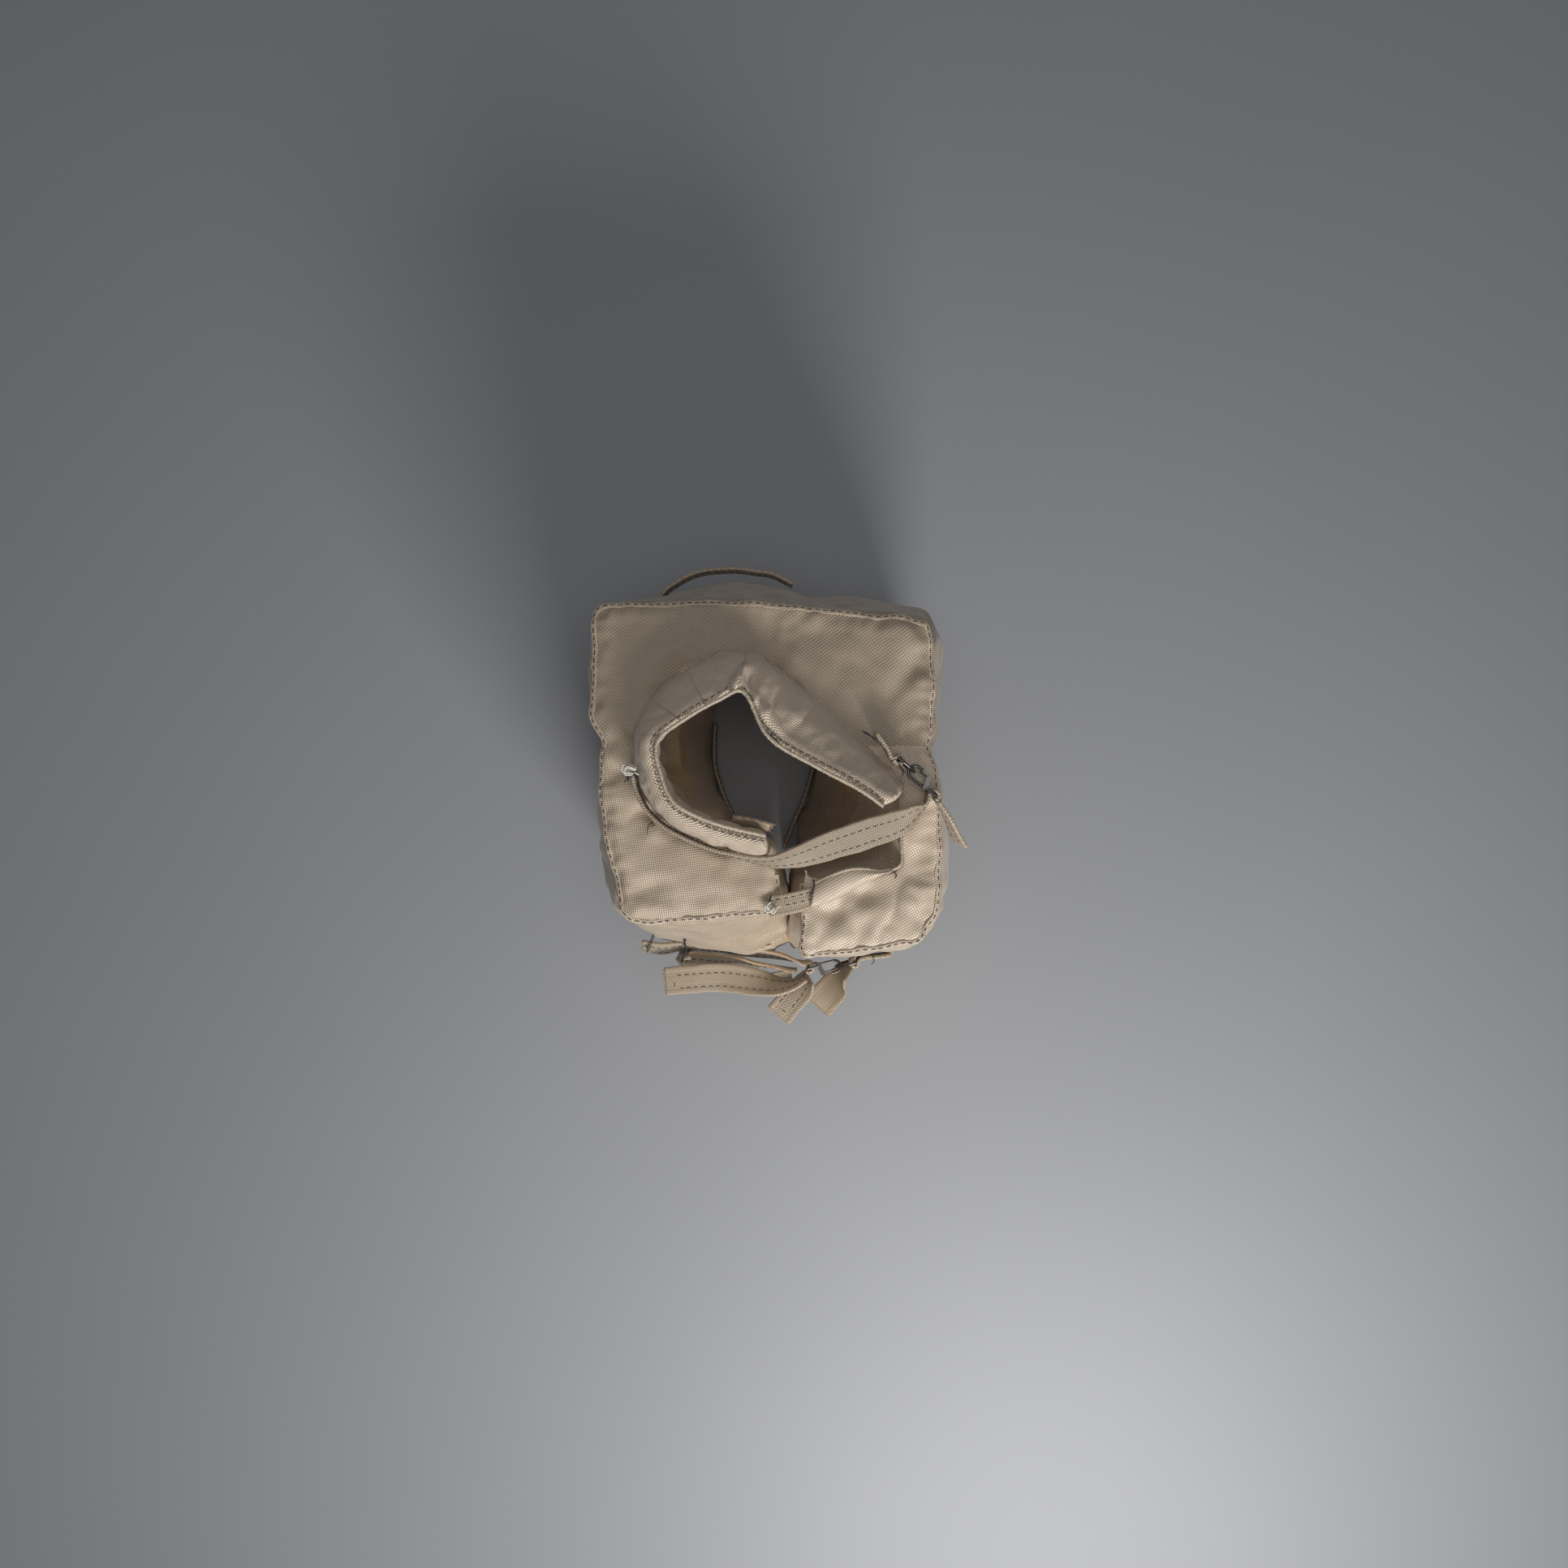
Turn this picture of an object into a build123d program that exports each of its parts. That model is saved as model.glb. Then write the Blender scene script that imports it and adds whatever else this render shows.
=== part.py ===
from build123d import *
import os
from math import cos, radians, sin

# Doll-size padded life vest, in millimetres. +Z is up, the front faces -Y, and the
# vest stands on its hem with the origin in the middle of its foot.

# Driving dimensions
HEIGHT = 88.0  # hem to shoulder panels
BELLY = 45.0  # height at which the padding stands out furthest
LEVELS = 8  # bands that the bulging walls are made of
COLLAR_HEIGHT = 13.5
WALL = 0.8  # shell fabric with its lining
SLACK = 0.2  # between a cover and the filling in it
SEAM_Y = 8.0  # shoulder seam
SEAM_GAP = 0.3
FRONT_GAP = (1.0, 6.5)  # the open front between the two front pads, along X
TAPE_WIDTH = 7.2
TAPE = 0.9  # folded and stitched tape
WIRE = 0.7  # hook and ring wire, diameter
RUNNING = 0.06  # radial clearance of a pivot

# Plan outlines, counter-clockwise from the front gap
SHOULDER_LINE = [
    (6.5, -41.5), (20, -40), (34, -38), (38.5, -32), (38.8, -19), (38.5, -6), (36.5, 8), (36.9, 22),
    (36.5, 35.3), (34.9, 37.2), (16, 39.4), (6, 40.4), (-4, 41.4), (-16, 41.6), (-28, 41.5),
    (-40.4, 41.1), (-42, 39.6),
    (-42.2, 27), (-42, 14), (-40, 8), (-40, -6), (-38.3, -18), (-36, -30), (-31, -34), (-15, -32.3),
    (1, -30.5),
]
BELLY_LINE = [
    (6, -43), (20, -44.4), (34.6, -43), (42.2, -35.5), (44.7, -20), (44.4, -6), (43.8, 8), (44.6, 24),
    (42.6, 41), (40.2, 43.6), (20, 47), (7, 47), (-3, 51), (-14, 50.6), (-26, 46.4),
    (-42.6, 43.8), (-45, 41.4),
    (-46, 28), (-45.8, 14), (-45, 8), (-45.2, -6), (-44, -21), (-40.6, -34), (-35, -40.2), (-16, -42.6),
    (1, -41),
]
HEM_LINE = [
    (6, -38), (20, -38.8), (32, -38), (38, -32), (39.2, -19), (39, -6), (38.5, 8), (38.6, 22),
    (37, 35.2), (35.2, 37.2), (16, 39.2), (6, 39.7), (-4, 40), (-15, 40.2), (-27, 40.1),
    (-37.4, 39.2), (-39.2, 37.4),
    (-40.2, 26), (-40, 14), (-39.5, 8), (-39, -6), (-37.8, -18), (-36, -30), (-31, -36), (-15, -36.8),
    (1, -36),
]
NECK_LINE = [
    (12, -22.5), (29.5, -21), (28, -3), (19.5, 6.5), (6.5, 17.5), (-5.5, 27.5),
    (-20, 23), (-29, 11), (-28, 2), (-23, -6.5), (-12, -11), (0.5, -13.5), (4, -20),
]
BODY_LINE = [
    (3, -20), (6, -12), (9, -5), (13, 8), (9, 24), (-5, 29),
    (-16, 26), (-18.5, 16), (-18.5, 5), (-16, -4), (-12, -13), (-5, -20), (-1, -24),
]

# Armholes, under the shoulder seam
ARM_Y, ARM_Z = 8.0, 59.0
ARM_HALF_DEPTH, ARM_HALF_HEIGHT = 13.0, 17.0
ARM_SIDES = 24

# Collar: where its foot stands on the panels, and the lip that leans over the neck
PANEL_TOP = HEIGHT + WALL
COLLAR_FOOT, COLLAR_LIP = 4.6, 3.8
SWELL = 0.4
COLLAR = [
    ((-1.2, -17.4), (-1.7, -12.6)), ((-14.5, -14.4), (-12.8, -9.9)), ((-25.8, -8.4), (-22, -5.4)),
    ((-31, 1), (-25.5, 2)), ((-32.5, 10.5), (-26, 8.5)), ((-29.3, 19.3), (-20, 13.5)),
    ((-20.5, 26.5), (-12, 18)), ((-6, 31), (-6.5, 19.5)), ((8, 20.6), (-1, 9.5)),
    ((20.4, 9.9), (9.5, 3)), ((28.6, 1.8), (19, -2)), ((30.6, -2.4), (24.8, -6)),
]

# Snap hooks, drawn from the bar that the strap is folded round, along +X
FRAME_HEIGHT = TAPE_WIDTH + WIRE + 0.3
FRAME_DEPTH = 2.2
BEND_RADIUS = 1.5
BEND_X = 6.6
NOSE = 1.2  # length of the straight end after the bend
PIVOT_X = 3.2
GATE_WIRE = 0.5
GATE_EYE = 1.3
GATE_HEIGHT = 0.8
PIN = 0.5
EAR = 0.4
RING_X = BEND_X + 0.3  # where the ring's arch rests in the bend
RING_REACH = FRAME_HEIGHT / 2 + 0.7
NECK_HOOK_AT, NECK_HOOK_TURN = (36.8, -3.6, PANEL_TOP + 5), 141.5
WAIST_HOOK_AT, WAIST_HOOK_TURN = (8.6, -47.6, BELLY + 11), 14.0

# Middle of the finished vest's box, straps included, in the plan above
MIDDLE = (-0.8, -3.8)

os.makedirs("parts", exist_ok=True)
UP = Vector(0, 0, 1)


def save(name, shape):
    """Writes a node with the middle of the vest's box over the origin."""
    export_step(Pos(-MIDDLE[0], -MIDDLE[1]) * shape, f"parts/{name}.step")


def inset(points, distance):
    """Moves every edge of a counter-clockwise outline inward."""
    moved = []
    for i, here in enumerate(points):
        before, after = Vector(*points[i - 1]), Vector(*points[(i + 1) % len(points)])
        here = Vector(*here)
        arrive, leave = (here - before).normalized(), (after - here).normalized()
        left, right = Vector(-arrive.Y, arrive.X), Vector(-leave.Y, leave.X)
        moved.append(here + (left + right) * (distance / (1 + left.dot(right))))
    return [(point.X, point.Y) for point in moved]


def sheet(points, height):
    return Pos(0, 0, height) * make_face(Polyline(*points, close=True))


def faceted(rings):
    """A closed form of flat facets through rings of corners."""
    faces = [Face(Wire.make_polygon(ring)) for ring in (rings[0], rings[-1])]
    for low, high in zip(rings, rings[1:]):
        for i, (a, d) in enumerate(zip(low, high)):
            b, c = low[(i + 1) % len(low)], high[(i + 1) % len(high)]
            halves = [(a, b, c), (a, c, d)] if (a - c).length < (b - d).length else [(a, b, d), (b, c, d)]
            faces += [Face(Wire.make_polygon(corners)) for corners in halves]
    return Solid(Shell(faces))


def ring_at(outline, height):
    return [Vector(x, y, height) for x, y in outline]


def block(x_range, y_range, z_range):
    (x0, x1), (y0, y1), (z0, z1) = x_range, y_range, z_range
    size = Box(x1 - x0, y1 - y0, z1 - z0)
    return Pos((x0 + x1) / 2, (y0 + y1) / 2, (z0 + z1) / 2) * size


# Padded body


def outline_at(height):
    """The plan outline at a height: a parabola through the hem, belly and shoulder lines."""
    s = height / HEIGHT
    b = BELLY / HEIGHT
    at_hem = (s - b) * (s - 1) / b
    at_belly = s * (s - 1) / (b * (b - 1))
    at_shoulder = s * (s - b) / (1 - b)
    return [
        tuple(at_hem * h + at_belly * m + at_shoulder * t for h, m, t in zip(*corner))
        for corner in zip(HEM_LINE, BELLY_LINE, SHOULDER_LINE)
    ]


def armholes(depth):
    """Both armholes, one oval from side to side."""
    turns = [radians(360 * k / ARM_SIDES) for k in range(ARM_SIDES)]
    wide, high = ARM_HALF_DEPTH + depth, ARM_HALF_HEIGHT + depth
    oval = make_face(Polyline(*[(wide * cos(a), high * sin(a)) for a in turns], close=True))
    return extrude(Plane.YZ * Pos(ARM_Y, ARM_Z) * oval, 60, both=True)


def vest_form(depth):
    """The whole vest as one form, each surface moved inward by depth."""
    heights = [depth + (HEIGHT - depth) * k / LEVELS for k in range(LEVELS + 1)]
    walls = [ring_at(inset(outline_at(z), depth), z) for z in heights]
    opening = [ring_at(inset(line, -depth), z) for line, z in ((BODY_LINE, 0), (NECK_LINE, HEIGHT))]
    return faceted(walls) - faceted(opening) - armholes(depth)


PADS = {
    "back": ((-60, 60), (SEAM_Y + SEAM_GAP / 2, 60)),
    "left_front": ((-60, FRONT_GAP[0]), (-60, SEAM_Y - SEAM_GAP / 2)),
    "right_front": ((FRONT_GAP[1], 60), (-60, SEAM_Y - SEAM_GAP / 2)),
}


def region(name, depth, top):
    (x0, x1), (y0, y1) = PADS[name]
    return block((x0 + depth, x1 - depth), (y0 + depth, y1 - depth), (depth, top))


def pads():
    skin, hollow, core = (vest_form(depth) for depth in (0, WALL, WALL + SLACK))
    for name in PADS:
        inside = hollow & region(name, WALL, HEIGHT)
        save(f"{name}_cover", (skin & region(name, 0, HEIGHT)) - inside)
        save(f"{name}_filling", core & region(name, WALL + SLACK, HEIGHT - SLACK))


def top_panels():
    """The flat shoulder panels that close the covers, with their sewn edge standing out."""
    seam = 0.5
    panel = extrude(sheet(inset(SHOULDER_LINE, -seam), HEIGHT), WALL)
    panel -= extrude(sheet(inset(NECK_LINE, seam), HEIGHT), WALL)
    for name in PADS:
        save(f"{name}_top_panel", panel & region(name, 0, HEIGHT + WALL))


# Collar


def smooth_row(rows, share):
    """A point between hand-set rows of numbers, on a curve that passes through them all."""
    place = share * (len(rows) - 1)
    i = min(int(place), len(rows) - 2)
    t = place - i
    a, b, c, d = (rows[min(max(k, 0), len(rows) - 1)] for k in range(i - 1, i + 3))
    return [
        q + t * ((r - p) + t * ((2 * p - 5 * q + 4 * r - s) + t * (3 * q - p - 3 * r + s))) / 2
        for p, q, r, s in zip(a, b, c, d)
    ]


def collar_rings(outline, depth=0, stations=20):
    """Upright sections round the neck; outline(run) gives one section's corners."""
    rings = []
    rows = [(*foot, *lip) for foot, lip in COLLAR]
    for k in range(stations + 1):
        foot_x, foot_y, lip_x, lip_y = smooth_row(rows, k / stations)
        lean = Vector(lip_x - foot_x, lip_y - foot_y)
        run = max(lean.length, COLLAR_FOOT)
        plane = Plane((foot_x, foot_y, PANEL_TOP), lean.normalized(), lean.cross(UP))
        rings.append([plane.from_local_coords((x, y, 0)) for x, y in inset(outline(run), depth)])
    return rings


def collar_outline(run):
    """A stuffed roll's section: a flat foot, swollen sides and a narrower lip."""
    top, lip = COLLAR_HEIGHT, run - COLLAR_LIP
    return [
        (0, 0), (COLLAR_FOOT, 0), ((COLLAR_FOOT + run) / 2 + SWELL, top / 2), (run, top - 1.4),
        (run - 0.9, top), (lip + 0.9, top), (lip, top - 1.4), (lip / 2 - SWELL, top / 2),
    ]


def edge_outline(run):
    """The overlocked edge that stands along the lip."""
    middle, half, height = run - COLLAR_LIP / 2, 0.35, 1.2
    top = COLLAR_HEIGHT
    return [
        (middle - half, top), (middle + half, top),
        (middle + half, top + height), (middle - half, top + height),
    ]


def collar():
    cover = faceted(collar_rings(collar_outline))
    save("collar_cover", cover - faceted(collar_rings(collar_outline, WALL)[1:-1]))
    save("collar_filling", faceted(collar_rings(collar_outline, WALL + SLACK)[2:-2]))
    save("collar_edge", faceted(collar_rings(edge_outline, stations=11)))


# Tapes


def tape(route, width=TAPE_WIDTH, thick=TAPE):
    """A flat tape through (x, y, z, roll) stations: roll 0 lies flat, 90 stands on edge."""
    places = [Vector(*station[:3]) for station in route]
    rings = []
    for i, station in enumerate(route):
        travel = (places[min(i + 1, len(places) - 1)] - places[max(i - 1, 0)]).normalized()
        level = UP.cross(travel).normalized()
        roll = radians(station[3])
        across = level * cos(roll) + travel.cross(level) * sin(roll)
        side, face = across * (width / 2), travel.cross(across) * (thick / 2)
        rings.append([places[i] + side * u + face * v for u, v in ((1, -1), (1, 1), (-1, 1), (-1, -1))])
    return faceted(rings)


def fold_round(bar):
    """The end of a tape folded round an upright bar."""
    inner = WIRE / 2 + SLACK
    return Pos(*bar) * (Cylinder(inner + TAPE, TAPE_WIDTH) - Cylinder(inner, TAPE_WIDTH))


def along_hook(at, turn, x, y):
    """A place beside a hook, in the vest's frame."""
    c, s = cos(radians(turn)), sin(radians(turn))
    return (at[0] + c * x - s * y, at[1] + s * x + c * y, at[2])


def neck_tapes():
    z = NECK_HOOK_AT[2]
    route = [
        (-32.4, 3, z + 0.8, 90), (-31.4, -2.5, z + 0.8, 90), (-28, -8.4, z + 0.8, 90),
        (-21, -13.2, z + 0.8, 90), (-11, -16.8, z + 0.8, 88), (-2, -18.8, z + 0.4, 72),
        (6, -17.6, z - 0.4, 45), (14, -15, z - 1.2, 22), (22, -12.4, z - 1.4, 15),
        (29, -10, z - 1.2, 30), (33, -7.2, z - 0.4, 65), (35.8, -4.9, z, 90),
    ]
    save("neck_strap", tape(route) + fold_round(NECK_HOOK_AT))
    ring_bar = along_hook(NECK_HOOK_AT, NECK_HOOK_TURN, RING_X + RING_REACH, -BEND_RADIUS)
    tab = tape([(27.6, 4.2, z, 90), (26, 7.2, z, 90), (23.4, 10.6, z, 90)])
    save("neck_ring_tab", tab + fold_round(ring_bar))
    tail = [(38.2, -5.6, z - 0.4, 90), (40.4, -9, z - 1.2, 87), (43.4, -14.6, z - 4.2, 78)]
    save("neck_strap_tail", tape(tail))
    save("collar_tie_end", tape([(-9.5, -9, z + 1.8, 68), (-1, -11, z + 1.3, 68)], width=4.4))


def front_tie():
    """The tape that ties the two front panels together across the gap."""
    low = PANEL_TOP + TAPE / 2
    narrow = [(-1, -29.4, low, 0), (4, -28, low + 0.1, 0), (10, -26.4, low, 0)]
    save("tie_tape_left", tape(narrow, width=3.8))
    wide = [(8.4, -26.8, low + TAPE + 0.35, 0), (14, -25.2, low + 0.5, 0), (27, -22.4, low, 0)]
    save("tie_tape_right", tape(wide))


def waist_tapes():
    z = WAIST_HOOK_AT[2]
    sewn = [
        (-33.5, -42.4, z, 62), (-28, -42.9, z, 64), (-22, -42.4, z, 84), (-11, -43.2, z, 90),
        (1, -44.9, z, 90), (7.6, -46.9, z, 90),
    ]
    save("waist_strap", tape(sewn) + fold_round(WAIST_HOOK_AT))
    fold = [
        (-22.8, -46.2, z - 1, 35), (-18, -46.6, z - 1, 38), (-11, -46.9, z - 0.8, 52),
        (-3, -47.3, z - 0.4, 78), (5.6, -48.6, z, 90),
    ]
    save("waist_strap_fold", tape(fold))
    ring_bar = along_hook(WAIST_HOOK_AT, WAIST_HOOK_TURN, RING_X + RING_REACH, -BEND_RADIUS)
    tab = tape([(21, -45.75, z, 90), (23.5, -44.9, z, 90), (31, -44.4, z, 90), (35, -43.9, z, 90)])
    save("waist_ring_tab", tab + fold_round(ring_bar))
    long_tail = [
        (4.6, -51.7, z + 2.2, 78), (0, -51.9, z + 3, 52), (-6, -50.9, z + 3.5, 22),
        (-14, -49.9, z + 3.8, 0), (-27.6, -50.8, z + 3.4, 0),
    ]
    save("waist_tail_long", tape(long_tail))
    short_tail = [(9, -50.6, z - 1.2, 60), (6.2, -54.2, z - 2, 22), (1, -60.4, z - 3.2, 5)]
    save("waist_tail_short", tape(short_tail))
    save("waist_tail_tip", tape([(4.4, -50.4, z - 4.95, 0), (-5, -53, z - 6.6, 0)], width=4))
    plain = [
        (19.4, -49.1, z - 1.5, 88), (17.2, -51.3, z - 4, 45),
        (14.6, -54.4, z - 6, 20), (11, -58.6, z - 7.4, 5),
    ]
    save("ring_tail", tape(plain, width=8.4))


def back_loop():
    """The lifting loop that stands off the swell of the back."""
    z = BELLY + 11
    line = [(-28.5, 47.2), (-25.5, 50.2), (-19, 53.2), (-11, 54.6), (-4, 53.7), (-0.5, 52.2)]
    save("back_loop", tape([(x, y, z, 90) for x, y in line]))


def hem_tapes():
    """Facing tapes sewn inside the lower edge of the body opening."""
    z = WALL + TAPE_WIDTH / 2
    left = [(-17.4, 16), (-17.4, 5), (-15, -3.8), (-11.2, -12)]
    right = [(12, 8), (8.3, -5), (5.2, -12.2), (2.4, -19)]
    save("left_hem_tape", tape([(x, y, z, 90) for x, y in left]))
    save("right_hem_tape", tape([(x, y, z, 90) for x, y in right]))


# Snap hooks and rings, all of bent wire


def wire(*points):
    """Round wire through the points, mitred where it turns."""
    path = Polyline(*points)
    section = Plane(path @ 0, z_dir=path % 0) * Circle(WIRE / 2)
    return sweep(section, path=path, transition=Transition.RIGHT)


def half_turn(radius, corners):
    """Corners of a half circle of wire, from straight down round +X to straight up."""
    reach = radius / cos(radians(90 / corners))
    angles = [radians(180 * (i + 0.5) / corners - 90) for i in range(corners)]
    return [(reach * cos(a), reach * sin(a)) for a in angles]


def gate_place():
    """The gate lies just inside the nose, and its pin at the other end of it."""
    return Pos(PIVOT_X, -2 * BEND_RADIUS + (WIRE + GATE_WIRE) / 2 + RUNNING)


def hook_body():
    """Webbing frame, shank, bend and nose, with a fork for the gate's pin."""
    half, side = FRAME_HEIGHT / 2, -2 * BEND_RADIUS
    corners = [(0, 0, half), (FRAME_DEPTH, 0, half), (FRAME_DEPTH, 0, -half), (0, 0, -half)]
    body = wire((0, 0, 0), *corners, (0, 0, 0))
    bend = [(BEND_X + x, y - BEND_RADIUS, 0) for x, y in reversed(half_turn(BEND_RADIUS, 6))]
    body += wire((FRAME_DEPTH, 0, 0), *bend, (BEND_X - NOSE, side, 0))
    cheek = GATE_HEIGHT / 2 + RUNNING
    arm = Pos(FRAME_DEPTH + 0.4, 0) * Circle(0.5) + gate_place() * Circle(0.6)
    fork = extrude(make_hull(arm.edges()), cheek + EAR, both=True)
    fork -= gate_place() * Cylinder(GATE_EYE / 2 + 0.25, 2 * cheek)
    return body + fork - gate_place() * Cylinder(PIN / 2, 4)


def gate():
    eye = Cylinder(GATE_EYE / 2, GATE_HEIGHT) - Cylinder(PIN / 2 + RUNNING, GATE_HEIGHT)
    start, end = GATE_EYE / 2 - 0.2, BEND_X - NOSE + 0.5 - PIVOT_X
    bar = Pos((start + end) / 2) * Rot(0, 90, 0) * Cylinder(GATE_WIRE / 2, end - start)
    return gate_place() * (eye + bar)


def gate_pin():
    return gate_place() * Cylinder(PIN / 2, GATE_HEIGHT + 2 * (RUNNING + EAR))


def ring():
    """A D-shaped ring: its arch rests in the hook's bend, its bar is held by the tab."""
    half, bar = FRAME_HEIGHT / 2, RING_X + RING_REACH
    arch = [(RING_X + half - x, -BEND_RADIUS, z) for x, z in half_turn(half, 8)]
    middle = (bar, -BEND_RADIUS, 0)
    return wire(middle, (bar, -BEND_RADIUS, -half), *arch, (bar, -BEND_RADIUS, half), middle)


def hooks():
    places = {"neck": (NECK_HOOK_AT, NECK_HOOK_TURN), "waist": (WAIST_HOOK_AT, WAIST_HOOK_TURN)}
    for name, (at, turn) in places.items():
        place = Pos(*at) * Rot(0, 0, turn)
        save(f"{name}_hook", place * hook_body())
        save(f"{name}_hook_gate", place * gate())
        save(f"{name}_hook_pin", place * gate_pin())
        save(f"{name}_ring", place * ring())


pads()
top_panels()
collar()
neck_tapes()
front_tie()
waist_tapes()
back_loop()
hem_tapes()
hooks()
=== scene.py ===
import math
import random

import bmesh
import bpy
import numpy as np
from mathutils import Matrix, Vector, noise
from mathutils.bvhtree import BVHTree


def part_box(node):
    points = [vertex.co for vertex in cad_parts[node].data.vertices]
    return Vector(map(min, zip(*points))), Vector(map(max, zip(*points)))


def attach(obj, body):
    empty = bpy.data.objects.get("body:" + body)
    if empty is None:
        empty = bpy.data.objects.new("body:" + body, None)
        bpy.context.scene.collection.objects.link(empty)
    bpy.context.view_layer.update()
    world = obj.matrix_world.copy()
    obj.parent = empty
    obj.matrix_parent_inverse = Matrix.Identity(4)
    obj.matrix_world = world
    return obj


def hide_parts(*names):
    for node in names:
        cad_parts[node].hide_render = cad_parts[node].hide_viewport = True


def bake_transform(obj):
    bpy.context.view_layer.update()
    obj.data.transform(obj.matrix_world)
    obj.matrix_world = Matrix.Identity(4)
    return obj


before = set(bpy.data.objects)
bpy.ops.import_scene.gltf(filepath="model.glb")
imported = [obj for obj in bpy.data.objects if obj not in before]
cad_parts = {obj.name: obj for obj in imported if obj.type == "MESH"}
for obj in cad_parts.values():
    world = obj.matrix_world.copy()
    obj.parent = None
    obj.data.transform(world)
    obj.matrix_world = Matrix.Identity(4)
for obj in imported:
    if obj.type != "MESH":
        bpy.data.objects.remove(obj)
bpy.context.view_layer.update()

random.seed(7)
rng = np.random.default_rng(7)

# Everything is drawn in millimetres about the middle of the vest's own plan, and laid into the
# frame by this shift.
MM = 0.001
SHIFT = np.array([0.8, 3.8, 0.0])
UP = np.array([0.0, 0.0, 1.0])

# Driving dimensions, as in the CAD source
TAPE_WIDTH, TAPE = 7.2, 0.9
WIRE, SLACK = 0.7, 0.2
SEAM_Y = 8.0
PANEL_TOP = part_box("back_top_panel")[1][2] / MM
NECK_Z, WAIST_Z = PANEL_TOP + 5, 56.0
BEND_RADIUS, RING_BAR = 1.5, 11.7
NECK_BAR, NECK_TURN = (36.8, -3.6), 141.5
WAIST_BAR, WAIST_TURN = (8.6, -47.6), 14.0
STITCH, STITCH_PITCH, THREAD = 1.35, 1.8, 0.2
THREAD_SIDES = 5
FIBRE_RADIUS, FIBRES_PER_END = 0.045, 34
PRESS_DEPTH, PRESS_MARGIN = 4, 0.15
SHEEN, SHEEN_ROUGHNESS, SHEEN_TINT = 0.3, 0.4, (1, 0.97, 0.92, 1)

# The stuffing simulation: it runs ten times larger than life, where Blender's cloth is steadier
SIM_SCALE, SIM_FRAMES, SIM_SLACK = 10, 16, 0.03


def to_frame(points):
    return (np.asarray(points, float) + SHIFT) * MM


def to_vest(points):
    return np.asarray(points, float) / MM - SHIFT


# ---------------------------------------------------------------- materials


def node(tree, kind, **values):
    """A shader node. Values whose names match an input are set on that input."""
    made = tree.nodes.new(kind)
    for key, value in values.items():
        if hasattr(made, key):
            setattr(made, key, value)
        else:
            made.inputs[key.replace("_", " ")].default_value = value
    return made


def wave(tree, vector, direction, pitch):
    """0 to 1 across ribs whose normal is direction, pitch in millimetres."""
    along = node(tree, "ShaderNodeVectorMath", operation="DOT_PRODUCT")
    tree.links.new(vector, along.inputs[0])
    along.inputs[1].default_value = Vector(direction).normalized() * (2 * math.pi / (pitch * MM))
    sine = node(tree, "ShaderNodeMath", operation="SINE")
    tree.links.new(along.outputs["Value"], sine.inputs[0])
    half = node(tree, "ShaderNodeMath", operation="MULTIPLY_ADD")
    tree.links.new(sine.outputs[0], half.inputs[0])
    half.inputs[1].default_value = half.inputs[2].default_value = 0.5
    return half.outputs[0]


def mixed(tree, factor, low, high, blend="MIX"):
    mix = node(tree, "ShaderNodeMix", data_type="RGBA", blend_type=blend)
    for socket, value in ((mix.inputs[0], factor), (mix.inputs[6], low), (mix.inputs[7], high)):
        if isinstance(value, bpy.types.NodeSocket):
            tree.links.new(value, socket)
        elif isinstance(value, (int, float)):
            socket.default_value = value
        else:
            socket.default_value = (*value, 1)
    return mix.outputs[2]


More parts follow.
